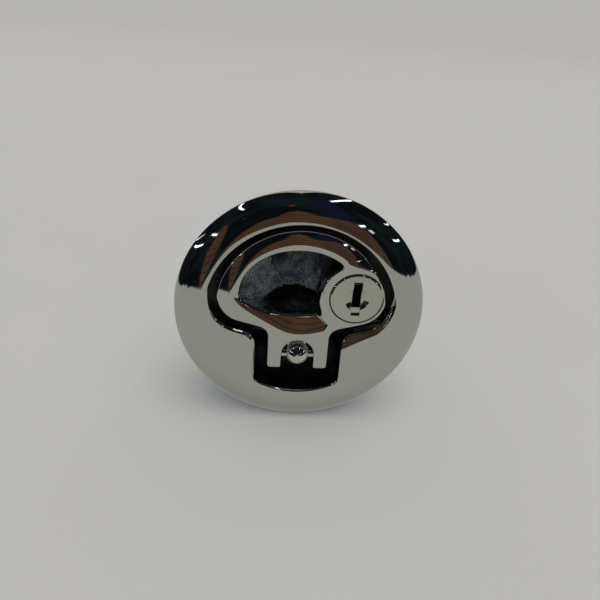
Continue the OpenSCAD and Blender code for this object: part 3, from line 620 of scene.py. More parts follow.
def makeFlange():
    f = flange
    surface = Surface()
    hole = openingLoop
    sharp = smoothStep(10.5, 12.0, hole[:, 0]) * smoothStep(9.0, 6.5, hole[:, 1])
    fillet = f["openingFillet"] - (f["openingFillet"] - f["fallFillet"]) * sharp
    rows, shades, holeTop = edgeRows(hole, domeHeight, fillet, f["under"])
    surface.rows(rows, shades, 0)
    # rim: a small round under the edge, then the dome's steep part
    rim = circleOutline((0, 0), f["radius"], 0.4)
    outward = np.column_stack([-intoMaterial(rim), np.zeros(len(rim))])
    up = np.array([0, 0, 1.0])
    back = 0.3
    rows, shades = [], []
    for a in np.linspace(-math.pi / 2, 0, 5):
        scale = (f["radius"] - back + back * math.cos(a)) / f["radius"]
        rows.append(np.column_stack([rim * scale, np.full(len(rim), back + back * math.sin(a))]))
        shades.append(outward * math.cos(a) + up * math.sin(a))
    for a in np.radians(np.linspace(0, 56, 29)):
        inset = f["domeWidth"] * (1 - math.cos(a))
        z = f["edge"] + (f["height"] - f["edge"]) * math.sin(a)
        normal = outward * math.cos(a) / f["domeWidth"] + up * math.sin(a) / (f["height"] - f["edge"])
        rows.append(np.column_stack([rim * (f["radius"] - inset) / f["radius"], np.full(len(rim), z)]))
        shades.append(normal / np.linalg.norm(normal, axis=1, keepdims=True))
    surface.rows(rows, shades)
    line = np.stack(fallLine, -1)[::7]
    line = line[(line[:, 1] > -8.6) & (line[:, 1] < 7.2)]
    creases = besideLine(line, (-0.16, -0.07, 0.0, 0.07, 0.16, 0.3))
    surface.cap([rows[-1][:, :2], holeTop], domeHeight, 0, grid=0.3, creases=creases)
    # underside, with a step that sits on the spigot
    spigot = circleOutline((0, 0), f["spigot"], 0.6)
    surface.cap([rows[0][:, :2], spigot], level(panelFace), 1, down=True)
    spigotIn = intoMaterial(counterClockwise(spigot, False))
    turnedSpigot = counterClockwise(spigot, False)
    ring = [np.column_stack([turnedSpigot, np.full(len(spigot), z)]) for z in (panelFace, f["under"])]
    shade = np.column_stack([-spigotIn, np.zeros(len(spigot))])
    surface.rows(ring, [shade, shade], 1)
    surface.cap([spigot, hole], level(f["under"]), 1, down=True)
    piece = surface.finished("flange_face", [chromeFace, dieCast], "frame")
    return piece


flangeFace = makeFlange()
print("stage 3: flange,", len(flangeFace.data.polygons), "faces")


# Geometry Nodes: what repeats is grown by a tree and kept as a plain mesh

def newTree(name, inputs):
    tree = bpy.data.node_groups.new(name, "GeometryNodeTree")
    tree.interface.new_socket("Geometry", in_out="INPUT", socket_type="NodeSocketGeometry")
    tree.interface.new_socket("Geometry", in_out="OUTPUT", socket_type="NodeSocketGeometry")
    for label in inputs:
        tree.interface.new_socket(label, in_out="INPUT", socket_type="NodeSocketFloat")
    return tree, tree.nodes.new("NodeGroupInput").outputs, tree.nodes.new("NodeGroupOutput")


def treeNode(tree, kind, inputs, output=0, **settings):
    node = tree.nodes.new(kind)
    for key, value in settings.items():
        setattr(node, key, value)
    for key, value in inputs.items():
        for source in value if isinstance(value, list) else [value]:
            if isinstance(source, bpy.types.NodeSocket):
                tree.links.new(source, node.inputs[key])
            else:
                node.inputs[key].default_value = source
    return node.outputs[output]


def treeMath(tree, operation, first, second):
    return treeNode(tree, "ShaderNodeMath", {0: first, 1: second}, operation=operation)


def treeEnd(tree, geometry, finish, out):
    realized = treeNode(tree, "GeometryNodeRealizeInstances", {"Geometry": geometry})
    dressed = treeNode(tree, "GeometryNodeSetMaterial", {"Geometry": realized, "Material": finish})
    tree.links.new(dressed, out.inputs[0])


def helixNode(tree, radius, pitch, length, ridge, resolution, sides=4):
    # a wire or a four-sided ridge along a helix that climbs from zero
    turns = treeMath(tree, "DIVIDE", length, pitch)
    helix = treeNode(tree, "GeometryNodeCurveSpiral", {"Resolution": resolution, "Rotations": turns,
                                                       "Start Radius": radius, "End Radius": radius,
                                                       "Height": length})
    helix = treeNode(tree, "GeometryNodeSetCurveNormal", {"Curve": helix}, mode="Z_UP")
    section = treeNode(tree, "GeometryNodeCurvePrimitiveCircle", {"Resolution": sides, "Radius": ridge})
    return treeNode(tree, "GeometryNodeCurveToMesh", {"Curve": helix, "Profile Curve": section, "Fill Caps": True})


def grown(name, tree, values, points=()):
    mesh = bpy.data.meshes.new(name)
    mesh.from_pydata([tuple(p) for p in points], [], [])
    piece = bpy.data.objects.new(name, mesh)
    scene.collection.objects.link(piece)
    modifier = piece.modifiers.new("grow", "NODES")
    modifier.node_group = tree
    for item in tree.interface.items_tree:
        if item.in_out == "INPUT" and item.name in values:
            modifier[item.identifier] = values[item.name]
    depsgraph = bpy.context.evaluated_depsgraph_get()
    result = bpy.data.meshes.new_from_object(piece.evaluated_get(depsgraph))
    piece.modifiers.remove(modifier)
    piece.data = result
    return piece


# Housing behind the flange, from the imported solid

barrel = {
    "radius": 25.2,
    "root": 24.75,
    "relief": 1.2,
    "threadStart": 2.4,
    "threadEnd": 16.6,
    "pitch": 1.6,
    "grooveSize": 0.75,
    "cupReach": 24.0,
    "cupBack": -10.2,
    "ledge": 0.85,
}


def copiedSolid(node, name):
    mesh = nodes[node].data.copy()
    mesh.name = name
    work = bmesh.new()
    work.from_mesh(mesh)
    bmesh.ops.remove_doubles(work, verts=work.verts, dist=1e-7)
    work.to_mesh(mesh)
    work.free()
    mesh.materials.clear()
    piece = bpy.data.objects.new(name, mesh)
    scene.collection.objects.link(piece)
    return piece


def cutWith(piece, cutter, operation="DIFFERENCE"):
    cut = piece.modifiers.new("cut", "BOOLEAN")
    cut.operation = operation
    cut.solver = "EXACT"
    cut.object = cutter
    depsgraph = bpy.context.evaluated_depsgraph_get()
    mesh = bpy.data.meshes.new_from_object(piece.evaluated_get(depsgraph))
    piece.modifiers.remove(cut)
    piece.data = mesh
    bpy.data.objects.remove(cutter)


def plainObject(surface, name):
    # the surface as a bare object, for cutting
    corners = np.vstack(surface.corners)
    sizes = np.concatenate(surface.sizes)
    keys = np.round(corners, 4)
    _, first, index = np.unique(keys, axis=0, return_index=True, return_inverse=True)
    index = index.ravel()
    faces, start = [], 0
    for size in sizes:
        face = list(dict.fromkeys(int(i) for i in index[start:start + size]))
        if len(face) > 2:
            faces.append(face)
        start += size
    mesh = bpy.data.meshes.new(name)
    mesh.from_pydata(toWorld(corners[first]) * mm, [], faces)
    piece = bpy.data.objects.new(name, mesh)
    scene.collection.objects.link(piece)
    return piece


def makeThreadGroove():
    b = barrel
    tree, given, out = newTree("threadGroove", ("Radius", "Pitch", "Length", "Groove Size", "Start"))
    groove = helixNode(tree, given["Radius"], given["Pitch"], given["Length"], given["Groove Size"], 72)
    start = treeNode(tree, "ShaderNodeCombineXYZ", {"Y": given["Start"]})
    laid = treeNode(tree, "GeometryNodeTransform", {"Geometry": groove, "Translation": start,
                                                    "Rotation": (-math.pi / 2, 0, 0)})
    treeEnd(tree, laid, dieCast, out)
    return grown("thread_groove", tree, {
        "Radius": (b["root"] + b["grooveSize"]) * mm,
        "Pitch": b["pitch"] * mm,
        "Length": (b["threadEnd"] - b["threadStart"]) * mm,
        "Groove Size": b["grooveSize"] * mm,
        "Start": b["threadStart"] * mm,
    })


def makeHousing():
    b, reach = barrel, 40
    piece = copiedSolid("housing", "housing_body")
    profile = [
        (0, flange["under"]),
        (flange["spigot"] - 0.02, flange["under"]),
        (flange["spigot"] - 0.02, -b["relief"]),
        (b["root"], -b["relief"] - 0.3),
        (b["root"], -b["threadStart"] - 0.2),
        (b["radius"] + 0.1, -b["threadStart"] - 0.7),
        (reach, -b["threadStart"] - 0.7),
        (reach, reach),
        (0, reach),
    ]
    cutWith(piece, plainObject(turned(profile, segments=180), "housing_cutter"))
    cutWith(piece, makeThreadGroove())
    mesh = piece.data
    for material in (dieCast, castChrome, paintedShadeCast):
        mesh.materials.append(material)
    for face in mesh.polygons:
        x, z, y = face.center.x / mm, -face.center.y / mm, face.center.z / mm
        inside = math.hypot(x, y) < b["cupReach"] and z > b["cupBack"]
        inCup = inside and x < 6.0 and y > -1.6 and z < barrel["ledge"]
        # faces inside the opening but outside the cup take the near-black metal: painted shade
        face.material_index = 1 if inCup else (2 if inside else 0)
        face.use_smooth = True
    mesh.set_sharp_from_angle(angle=math.radians(28))
    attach(piece, "frame")
    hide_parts("housing")
    return piece


housingBody = makeHousing()
print("stage 4: housing,", len(housingBody.data.polygons), "faces")


# Handle

handle = {
    "radius": 21.1,
    "up": 1.9,
    "top": 5.0,
    "back": 1.0,
    "halfWidth": 20.9,
    "shoulderUp": 0.5,
    "shoulderRadius": 7.0,
    "shoulderSlope": 0.27,
    "legsHalfWidth": 7.75,
    "legsDrop": 14.4,
    "legNeckRadius": 3.0,
    "legCornerRadius": 0.8,
    "archHalfWidth": 4.15,
    "archDrop": 10.3,
    "crownRadius": 15.3,
    "ringFall": 0.0375,
    "outerFillet": 0.45,
    "holeFillet": 0.4,
    "boreFillet": 0.12,
}
fingerHole = {
    "radius": 16.6,
    "left": 0.6,
    "low": 0.5,
    "leftUp": 4.9,
    "leftReach": 15.75,
    "bossRadius": 8.9,
    "lobe": 1.15,
    "softening": 45,
    "bossBlend": 1.3,
    "middle": (-2.0, 9.0),
}
scoop = {
    "centre": (-0.5, 14.0),
    "radius": 18.2,
    "width": 5.0,
    "outerSlope": 0.40,
    "innerSlope": 0.24,
    "tipSlope": 1.6,
    "leftLine": ((-14.5, 2.7), (-3.5, -4.0)),
    "blend": 0.5,
    "lip": 0.012,
    "lipWidth": 0.12,
    "tip": (7.05, -1.1),
    "tipTop": (5.3, 0.9),
    "tipLow": (6.1, -3.2),
}
lock = {
    "x": 13.5,
    "up": 6.4,
    "faceRadius": 6.5,
    "faceGap": 0.22,
    "faceThickness": 1.7,
    "proud": 0.25,
    "bevel": 0.4,
    "slotHeight": 9.7,
    "slotWidth": 2.15,
    "slotDepth": 0.8,
    "keywayHeight": 6.75,
    "dimpleRadius": 3.1,
    "dimpleDepth": 0.8,
    "slotShift": 0.45,
    "keywayShift": 0.85,
}
lockAt = np.array([lock["x"], lock["up"]])


def handleOutline(spacing):
    h = handle
    neckY = h["shoulderUp"] - h["shoulderSlope"] * (h["halfWidth"] - h["legsHalfWidth"])
    right = [
        (h["halfWidth"], 40, 0),
        (h["halfWidth"], h["shoulderUp"], h["shoulderRadius"]),
        (h["legsHalfWidth"], neckY, h["legNeckRadius"]),
        (h["legsHalfWidth"], -h["legsDrop"], h["legCornerRadius"]),
        (h["archHalfWidth"], -h["legsDrop"], 0.4),
    ]
    steps = 14
    for k in range(steps):
        a = math.pi / 2 * k / steps
        right.append((h["archHalfWidth"] * math.cos(a), -h["archDrop"] + h["archHalfWidth"] * math.sin(a), 0))
    outline = evenly(roundedPath(bothSides(right)), spacing / 4)
    outline = clippedToCircle(outline, np.array([0, h["up"]]), h["radius"])
    return counterClockwise(softened(evenly(outline, spacing), 2))


def rayToCircle(middle, direction, centre, radius, near):
    # distance along rays from the middle to a circle; near picks the first crossing
    away = np.array(middle) - centre
    b = direction @ away
    inner = b * b - (away @ away - radius * radius)
    root = np.sqrt(np.maximum(inner, 0))
    distance = -b - root if near else -b + root
    return np.where((inner > 0) & (distance > 0), distance, 1e3)


def fingerHoleOutline(spacing):
    f = fingerHole
    corners = roundedPath([
        (-f["leftReach"], f["radius"] + 4, 0),
        (-f["leftReach"], f["leftUp"], 2.2),
        (-f["radius"] / 2 + 0.6, f["low"] + 0.5, 8),
        (-1, f["low"], 16),
        (6, f["low"] + 0.6, 1.2),
        (5.4, 5, 0),
        (f["radius"], 5, 0),
        (f["radius"], f["radius"] + 4, 0),
    ], 16)
    middle = np.array(f["middle"])
    away = evenly(corners, 0.1) - middle
    a = np.linspace(-math.pi, math.pi, 1440, endpoint=False)
    direction = np.stack([np.cos(a), np.sin(a)], -1)
    order = np.argsort(np.arctan2(away[:, 1], away[:, 0]))
    angles = np.arctan2(away[:, 1], away[:, 0])[order]
    reach = np.interp(a, angles, np.linalg.norm(away, axis=1)[order], period=2 * math.pi)
    ring = rayToCircle(f["middle"], direction, np.array([-f["left"], handle["up"]]), f["radius"], False)
    boss = rayToCircle(f["middle"], direction, lockAt, f["bossRadius"], True)
    # the three limits meet in rounded corners
    k = f["lobe"]
    limits = np.stack([reach, ring, boss])
    least = limits.min(0)
    distance = least - k * np.log(np.exp(-(limits - least) / k).sum(0))
    outline = evenly(middle + direction * distance[:, None], spacing)
    return counterClockwise(softened(outline, f["softening"]), False)


def ringHeight(x, y):
    h, f = handle, fingerHole
    dome = h["top"] - h["ringFall"] * np.maximum(np.hypot(x, y - h["up"]) - h["crownRadius"], 0) ** 2
    web = smoothStep(0.0, -6.0, y)
    away = np.hypot(x - lock["x"], y - lock["up"])
    boss = smoothStep(f["bossRadius"] + f["bossBlend"], f["bossRadius"] - f["bossBlend"], away)
    flat = 1 - (1 - web) * (1 - boss)
    return dome + (h["top"] - dome) * flat


def sideOf(x, y, start, end):
    # distance from the line through two points, more to its right
    start, end = np.array(start), np.array(end)
    along = (end - start) / np.linalg.norm(end - start)
    return (x - start[0]) * along[1] - (y - start[1]) * along[0]


def scoopInward(x, y):
    # distance inside the scoop's outer edge, which is an arc and, at the left, a straighter line
    s = scoop
    arc = s["radius"] - np.hypot(x - s["centre"][0], y - s["centre"][1])
    return softLeast([arc, -sideOf(x, y, *s["leftLine"])], s["blend"])


def scoopDepth(x, y):
    s = scoop
    inward = scoopInward(x, y)
    depth = hollow(inward, s["width"], s["outerSlope"], s["innerSlope"])
    depth = depth + s["lip"] * (1 - np.exp(-np.maximum(inward, 0) / s["lipWidth"]))
    # the right end comes up to the face along two short edges
    soft = 0.04
    for start, end in ((s["tipLow"], s["tip"]), (s["tip"], s["tipTop"])):
        inside = soft * np.logaddexp(0, -sideOf(x, y, start, end) / soft)
        depth = np.minimum(depth, s["tipSlope"] * inside)
    return depth * smoothStep(7.4, 5.2, y)


def handleHeight(x, y):
    return ringHeight(x, y) - scoopDepth(x, y)


def scoopCreases():
    # points along the scoop's outer edge, found on rays from the middle of its arc
    s = scoop
    a = np.radians(np.arange(-152, -62, 0.45))
    direction = np.stack([np.cos(a), np.sin(a)], -1)
    reach = np.arange(s["radius"] - 5, s["radius"] + 0.5, 0.01)
    at = np.array(s["centre"]) + direction[:, None] * reach[None, :, None]
    inward = scoopInward(at[..., 0], at[..., 1])
    rows = []
    for wanted in (-0.08, 0.0, 0.08, 0.18, 0.3):
        first = np.argmin(np.abs(inward - wanted), axis=1)
        rows.append(at[np.arange(len(a)), first])
    return np.vstack(rows)


def makeHandle():
    h = handle
    surface = Surface()
    outer = handleOutline(0.22)
    hole = fingerHoleOutline(0.2)
    bore = counterClockwise(circleOutline(lockAt, lock["faceRadius"] + lock["faceGap"], 0.25), False)
    tops, feet = [], []
    for outline, fillet in ((outer, h["outerFillet"]), (hole, h["holeFillet"]), (bore, h["boreFillet"])):
        rows, shades, top = edgeRows(outline, handleHeight, fillet, h["back"])
        surface.rows(rows[:2], shades[:2], 0)
        surface.rows(rows[1:], shades[1:], 0)
        tops.append(top)
        feet.append(outline)
    surface.cap(tops, handleHeight, 0, grid=0.22, creases=scoopCreases())
    surface.cap(feet, level(h["back"]), 1, down=True)
    piece = surface.finished("handle_face", [chromeFace, paintedShadeCast], "lever")
    return piece


def makeHandleBack():
    piece = copiedSolid("handle", "handle_back")
    profile = [(0, handle["back"]), (40, handle["back"]), (40, 40), (0, 40)]
    cutWith(piece, plainObject(turned(profile, segments=24), "handle_cutter"))
    piece.data.materials.append(castChrome)
    for face in piece.data.polygons:
        face.use_smooth = True
    piece.data.set_sharp_from_angle(angle=math.radians(30))
    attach(piece, "lever")
    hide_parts("handle")
    return piece


handleFace = makeHandle()
handleBack = makeHandleBack()
print("stage 5: handle,", len(handleFace.data.polygons), "faces")


# Lock

def makeLockFace():
    k = lock
    top = handle["top"] + k["proud"]
    back = top - k["faceThickness"]
    bowl = (k["dimpleRadius"] ** 2 + k["dimpleDepth"] ** 2) / (2 * k["dimpleDepth"])

    def faceHeight(x, y):
        r = np.hypot(x - k["x"], y - k["up"])
        sunk = np.sqrt(np.maximum(bowl ** 2 - r ** 2, 0)) - (bowl - k["dimpleDepth"])
        return top - np.maximum(sunk, 0)

    surface = Surface()
    disc = circleOutline(lockAt, k["faceRadius"], 0.25)
    rows, shades, discTop = edgeRows(disc, faceHeight, k["bevel"], back)
    surface.rows(rows, shades)
    halfW, halfH, keyH = k["slotWidth"] / 2, k["slotHeight"] / 2, k["keywayHeight"] / 2
    slotLoop = evenly(roundedPath([(halfW, halfH, 0.15), (halfW, -halfH, 0.15),
                                   (-halfW, -halfH, 0.15), (-halfW, halfH, 0.15)]), 0.12) + lockAt
    slotLoop = counterClockwise(slotLoop + np.array([0, k["slotShift"]]), False)
    rows, shades, slotTop = edgeRows(slotLoop, faceHeight, 0.07, top - k["slotDepth"])
    surface.rows(rows, shades)
    surface.cap([discTop, slotTop], faceHeight, 0, grid=0.2)
    inset = 0.01
    keyLoop = roundedPath([(halfW - inset, keyH, 0.1), (halfW - inset, -keyH, 0.1),
                           (-halfW + inset, -keyH, 0.1), (-halfW + inset, keyH, 0.1)]) + lockAt
    keyLoop = counterClockwise(evenly(keyLoop, 0.12) + np.array([0, k["keywayShift"]]), False)
    surface.cap([slotLoop, keyLoop], level(top - k["slotDepth"]), 0)
    # the keyway's walls take the near-black metal: painted shade
    outward = np.column_stack([-intoMaterial(keyLoop), np.zeros(len(keyLoop))])
    walls = [np.column_stack([keyLoop, np.full(len(keyLoop), z)]) for z in (back, top - k["slotDepth"])]
    surface.rows(walls, [outward, outward], 1)
    surface.cap([disc, keyLoop], level(back), 0, down=True)
    piece = surface.finished("lock_face", [chromeLock, paintedShadeCast], "plug")
    return piece


def makeLockCore():
    piece = copiedSolid("lock_plug", "lock_core")
    back = handle["top"] + lock["proud"] - lock["faceThickness"]
    profile = [(0, back), (40, back), (40, 40), (0, 40)]
    cutWith(piece, plainObject(turned(profile, segments=24), "core_cutter"))
    piece.data.materials.append(paintedShadeCast)
    for face in piece.data.polygons:
        face.use_smooth = True
    piece.data.set_sharp_from_angle(angle=math.radians(30))
    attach(piece, "plug")
    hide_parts("lock_plug")
    return piece


lockFace = makeLockFace()
lockCore = makeLockCore()
print("stage 6: lock")


# Hinge post with its ball

hinge = {
    "drop": 10.7,
    "out": 3.0,
    "ballRadius": 3.0,
    "stemRadius": 1.5,
    "stemLow": -6.6,
    "collarRadius": 2.6,
    "collarLow": -2.4,
    "collarHeight": 1.0,
    "pinRadius": 1.2,
    "pinHalf": 7.65,
}


def makeHingePost():
    h = hinge
    joinAngle = math.asin(h["stemRadius"] / h["ballRadius"])
    profile = [(0, h["stemLow"]), (h["stemRadius"] - 0.2, h["stemLow"]), (h["stemRadius"], h["stemLow"] + 0.2)]
    profile += [(h["stemRadius"], h["collarLow"]), (h["collarRadius"], h["collarLow"])]
    profile += [(h["collarRadius"], h["collarLow"] + h["collarHeight"] - 0.2)]
    profile += [(h["collarRadius"] - 0.2, h["collarLow"] + h["collarHeight"])]
    profile += [(h["stemRadius"], h["collarLow"] + h["collarHeight"])]
    for a in np.linspace(-math.pi / 2 + joinAngle, math.pi / 2, 40):
        profile.append((max(0, h["ballRadius"] * math.cos(a)), h["out"] + h["ballRadius"] * math.sin(a)))
    piece = turned(profile, np.array([0, -h["drop"]])).finished("hinge_ball", [ballChrome], "frame")
    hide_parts("hinge_post")
    return piece


def makeHingePin():
    h = hinge
    end = 0.15
    profile = [(0, -h["pinHalf"]), (h["pinRadius"] - end, -h["pinHalf"]), (h["pinRadius"], -h["pinHalf"] + end)]
    profile += [(h["pinRadius"], h["pinHalf"] - end), (h["pinRadius"] - end, h["pinHalf"]), (0, h["pinHalf"])]
    surface = turned(profile, segments=48)
    # the pin is turned about z, then laid along x
    for group in (surface.corners, surface.normals):
        for i, a in enumerate(group):
            group[i] = np.stack([a[:, 2], a[:, 1], -a[:, 0]], -1)
    for i, a in enumerate(surface.corners):
        surface.corners[i] = a + np.array([0, -h["drop"], h["out"]])
    piece = surface.finished("pivot_pin", [chromeFace], "frame")
    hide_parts("hinge_pin")
    return piece


hingeBall = makeHingePost()
pivotPin = makeHingePin()
print("stage 7: hinge")


# Screws of the rear cover

coverScrew = {
    "headRadius": 2.3,
    "headHeight": 1.5,
    "rimHeight": 0.75,
    "shankRadius": 1.05,
    "length": 6.0,
    "pitch": 0.6,
    "ridge": 0.2,
    "recessArm": 1.15,
    "recessWidth": 0.29,
    "recessDepth": 0.8,
}


def makeCoverScrews():
    c = coverScrew
    tree, given, out = newTree("coverScrews", ("Head Radius", "Head Height", "Rim Height", "Shank Radius", "Length",
                                               "Pitch", "Ridge", "Recess Arm", "Recess Width", "Recess Depth"))
    flip = (-math.pi / 2, 0, 0)

    def lifted(geometry, height):
        at = treeNode(tree, "ShaderNodeCombineXYZ", {"Z": height})
        return treeNode(tree, "GeometryNodeTransform", {"Geometry": geometry, "Translation": at})

    below = treeMath(tree, "MULTIPLY", given["Head Height"], -1.0)
    rim = treeNode(tree, "GeometryNodeMeshCylinder", {"Vertices": 40, "Radius": given["Head Radius"],
                                                      "Depth": given["Rim Height"]})
    rim = lifted(rim, treeMath(tree, "ADD", below, treeMath(tree, "MULTIPLY", given["Rim Height"], 0.5)))
    crown = treeNode(tree, "GeometryNodeMeshCone", {
        "Vertices": 40,
        "Radius Bottom": given["Head Radius"],
        "Radius Top": treeMath(tree, "MULTIPLY", given["Head Radius"], 0.62),
        "Depth": treeMath(tree, "SUBTRACT", given["Head Height"], given["Rim Height"]),
    })
    crown = lifted(crown, treeMath(tree, "ADD", below, given["Rim Height"]))
    shank = treeNode(tree, "GeometryNodeMeshCylinder", {"Vertices": 24, "Radius": given["Shank Radius"],
                                                        "Depth": given["Length"]})
    half = treeMath(tree, "MULTIPLY", given["Length"], -0.5)
    shank = lifted(shank, treeMath(tree, "ADD", below, treeMath(tree, "ADD", half, given["Ridge"])))
    body = treeNode(tree, "GeometryNodeMeshBoolean", {"Mesh 2": [rim, crown, shank]}, operation="UNION")
    arms = []
    for first, second in (("Recess Arm", "Recess Width"), ("Recess Width", "Recess Arm")):
        size = treeNode(tree, "ShaderNodeCombineXYZ", {
            "X": treeMath(tree, "MULTIPLY", given[first], 2.0),
            "Y": treeMath(tree, "MULTIPLY", given[second], 2.0),
            "Z": treeMath(tree, "MULTIPLY", given["Recess Depth"], 2.0),
        })
        arms.append(treeNode(tree, "GeometryNodeMeshCube", {"Size": size}))
    body = treeNode(tree, "GeometryNodeMeshBoolean", {"Mesh 1": body, "Mesh 2": arms}, operation="DIFFERENCE")
    threadLength = treeMath(tree, "MULTIPLY", given["Length"], 0.85)
    thread = helixNode(tree, given["Shank Radius"], given["Pitch"], threadLength, given["Ridge"], 20)
    thread = lifted(thread, treeMath(tree, "SUBTRACT", below, treeMath(tree, "MULTIPLY", given["Length"], 0.93)))
    screw = treeNode(tree, "GeometryNodeJoinGeometry", {"Geometry": [body, thread]})
    spread = treeNode(tree, "GeometryNodeInstanceOnPoints", {"Points": given["Geometry"], "Instance": screw,
                                                             "Rotation": flip})
    treeEnd(tree, spread, platedSteel, out)
    names = [name for name in nodes if name.startswith("cover_screw")]
    points = []
    for name in names:
        low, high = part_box(name)
        points.append(((low[0] + high[0]) / 2, high[1], (low[2] + high[2]) / 2))
    values = {
        "Head Radius": c["headRadius"],
        "Head Height": c["headHeight"],
        "Rim Height": c["rimHeight"],
        "Shank Radius": c["shankRadius"],
        "Length": c["length"],
        "Pitch": c["pitch"],
        "Ridge": c["ridge"],
        "Recess Arm": c["recessArm"],
        "Recess Width": c["recessWidth"],
        "Recess Depth": c["recessDepth"],
    }
    piece = grown("cover_screws", tree, {label: value * mm for label, value in values.items()}, points)
    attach(piece, "frame")
    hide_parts(*names)
    return piece


coverScrews = makeCoverScrews()


# Springs of the bolt, which the bolt presses together against their upper seat; here they keep the length of their
# parts at rest

boltSpring = {
    "wireRadius": 0.35,
    "turns": 7,
    "travel": 6.35,
}


def makeBoltSprings():
    c = boltSpring
    tree, given, out = newTree("boltSpring", ("Radius", "Wire Radius", "Pitch", "Length"))
    coil = helixNode(tree, given["Radius"], given["Pitch"], given["Length"], given["Wire Radius"], 24, 12)
    treeEnd(tree, coil, springSteel, out)
    wire = c["wireRadius"] * mm
    for side in ("left", "right"):
        low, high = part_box("bolt_spring_" + side)
        length = high[2] - low[2] - 2 * wire
        piece = grown("spring_coil_" + side, tree, {
            "Radius": (high[0] - low[0]) / 2 - wire,
            "Wire Radius": wire,
            "Pitch": length / c["turns"],
            "Length": length,
        })
        middle = ((low[0] + high[0]) / 2, (low[1] + high[1]) / 2, low[2] + wire)
        piece.data.transform(Matrix.Translation(middle))
        for face in piece.data.polygons:
            face.use_smooth = True
        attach(piece, "frame")
        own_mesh(piece)
        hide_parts("bolt_spring_" + side)


makeBoltSprings()


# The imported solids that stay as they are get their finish

finishes = {
    "mounting_nut": dieCast,
    "rear_cover": dieCast,
    "bolt": boltSteel,
    "post_nut": platedSteel,
    "lock_shell": dieCast,
    "locking_tongue": platedSteel,
    "tongue_washer": platedSteel,
    "tongue_screw": platedSteel,
}
for name, node in nodes.items():
    finish = finishes.get(name)
    if "spring" in name:
        finish = springSteel
    elif name.startswith("wafer"):
        finish = waferBrass
    if finish is None:
        continue
    node.data.materials.clear()
    node.data.materials.append(finish)
print("stage 8: finishes")


# Camera, as fitted to the flange's outline in the photograph

camera = {
    "azimuth": -2.22,
    "elevation": 28.71,
    "distance": 143.82,
    "focalPixels": 564.0,
    "imagePixels": 600.0,
    "shiftX": -0.77,
    "shiftY": 11.27,
    "roll": 3.6,
    "aimOut": 0.4,
}


def makeCamera():
    c = camera
    a, e = math.radians(c["azimuth"]), math.radians(c["elevation"])
    back = Vector((math.sin(a) * math.cos(e), -math.cos(a) * math.cos(e), math.sin(e)))
    right = (-back).cross(Vector((0, 0, 1))).normalized()
    up = right.cross(-back)
    place = back * c["distance"] * mm
    # the latch stands turned a little in the photograph, so the camera turns about its axis instead
    turn = Matrix.Rotation(-math.radians(c["roll"]), 3, "Y")
    place, right, up, back = (turn @ v for v in (place, right, up, back))
    place += Vector((0, -c["aimOut"] * mm, 0))
    data = bpy.data.cameras.new("camera")
    data.sensor_width = 36
    data.lens = data.sensor_width * c["focalPixels"] / c["imagePixels"]
    data.shift_x = -c["shiftX"] / c["imagePixels"]
    data.shift_y = c["shiftY"] / c["imagePixels"]
    data.clip_start = 0.005
    item = bpy.data.objects.new("camera", data)
    item.matrix_world = Matrix((
        (right.x, up.x, back.x, place.x),
        (right.y, up.y, back.y, place.y),
        (right.z, up.z, back.z, place.z),
        (0, 0, 0, 1),
    ))
    scene.collection.objects.link(item)
    scene.camera = item


makeCamera()


# Floor, room and lamps

room = {
    "paper": (0.507, 0.481, 0.455),
    "paperSeen": (0.468, 0.457, 0.432),
    "paperMirrored": (0.375, 0.380, 0.335),
    "paperShadedBelow": (0.300, 0.310, 0.275),
    "soft": (0.98, 0.95, 0.92),
    "softStrength": 0.40,
    "sun": (1.0, 0.97, 0.90),
    "sunStrength": 1.45,
    "fill": (0.50, 0.78, 1.0),
    "fillStrength": 0.62,
    "wood": (0.070, 0.039, 0.026),
    "woodLine": (0.020, 0.012, 0.010),
    "woodWarm": (0.095, 0.050, 0.028),
    "dark": (0.0035, 0.0055, 0.0075),
    "darkGreen": (0.010, 0.018, 0.022),
    "darkBlue": (0.0085, 0.0090, 0.026),
    "ember": (0.30, 0.06, 0.02),
    "cream": (0.55, 0.47, 0.35),
}
# edges of what the chrome mirrors: azimuth from straight out of the face, positive to the right, and elevation
paperEdge = [(-180, 78), (-169, 62), (-162, 8), (-150, -9), (-120, -12), (-90, -13.5), (-60, -14), (-45, -16.5),
             (-33, -19), (-25, -21), (-20.5, -17), (-17, -8), (-12, -4), (-5, -1), (0, 0.5), (8, -1), (15, -4),
             (22, -9), (28, -11.5), (34, -11), (45, -9), (60, -6), (90, -2), (120, -3), (150, -4), (162, 8),
             (169, 62), (180, 78)]
woodEdge = [(-180, -90), (-23, -90), (-21, -20), (-19.5, -4), (-17, 3), (-13, 8), (-7, 12), (-4.5, 19), (0, 21.5),
            (4, 19), (9, 12.5), (15, 12), (20, 15), (25, 14), (29, 9), (31.5, -1), (33, -14), (35, -90), (180, -90)]
# wedge of wood at the left: elevation, azimuth of its middle, half its width
woodWedge = [(-90, -27, 0.0), (-22, -27, 0.5), (-17, -27.5, 3.0), (-8, -30.5, 5.0), (0, -33.5, 5.5), (8, -36.5, 5.0),
             (15, -40, 5.0), (20, -44, 4.0), (24, -48, 1.5), (27, -50, 0.0), (90, -50, 0.0)]
# lamps that the chrome mirrors: azimuth and elevation of both ends, width in degrees, brightness
roomLamps = [
    (36, 58, 150, 33, 2.2, 4.0),
    (-62, 47, -150, 28, 1.8, 3.6),
    (-60, 20, -46, 15.5, 1.3, 3.6),
    (-62, 12, -100, 11.5, 1.6, 3.6),
    (-98, 21, -136, 3, 1.2, 1.8),
    (27, 13.5, 32.5, 17.5, 1.3, 3.6),
    (32, 11.5, 36, 14.5, 2.4, 0.9),
    (62, 17.5, 90, 20, 1.3, 3.6),
    (95, 33, 135, 17, 1.2, 2.2),
]


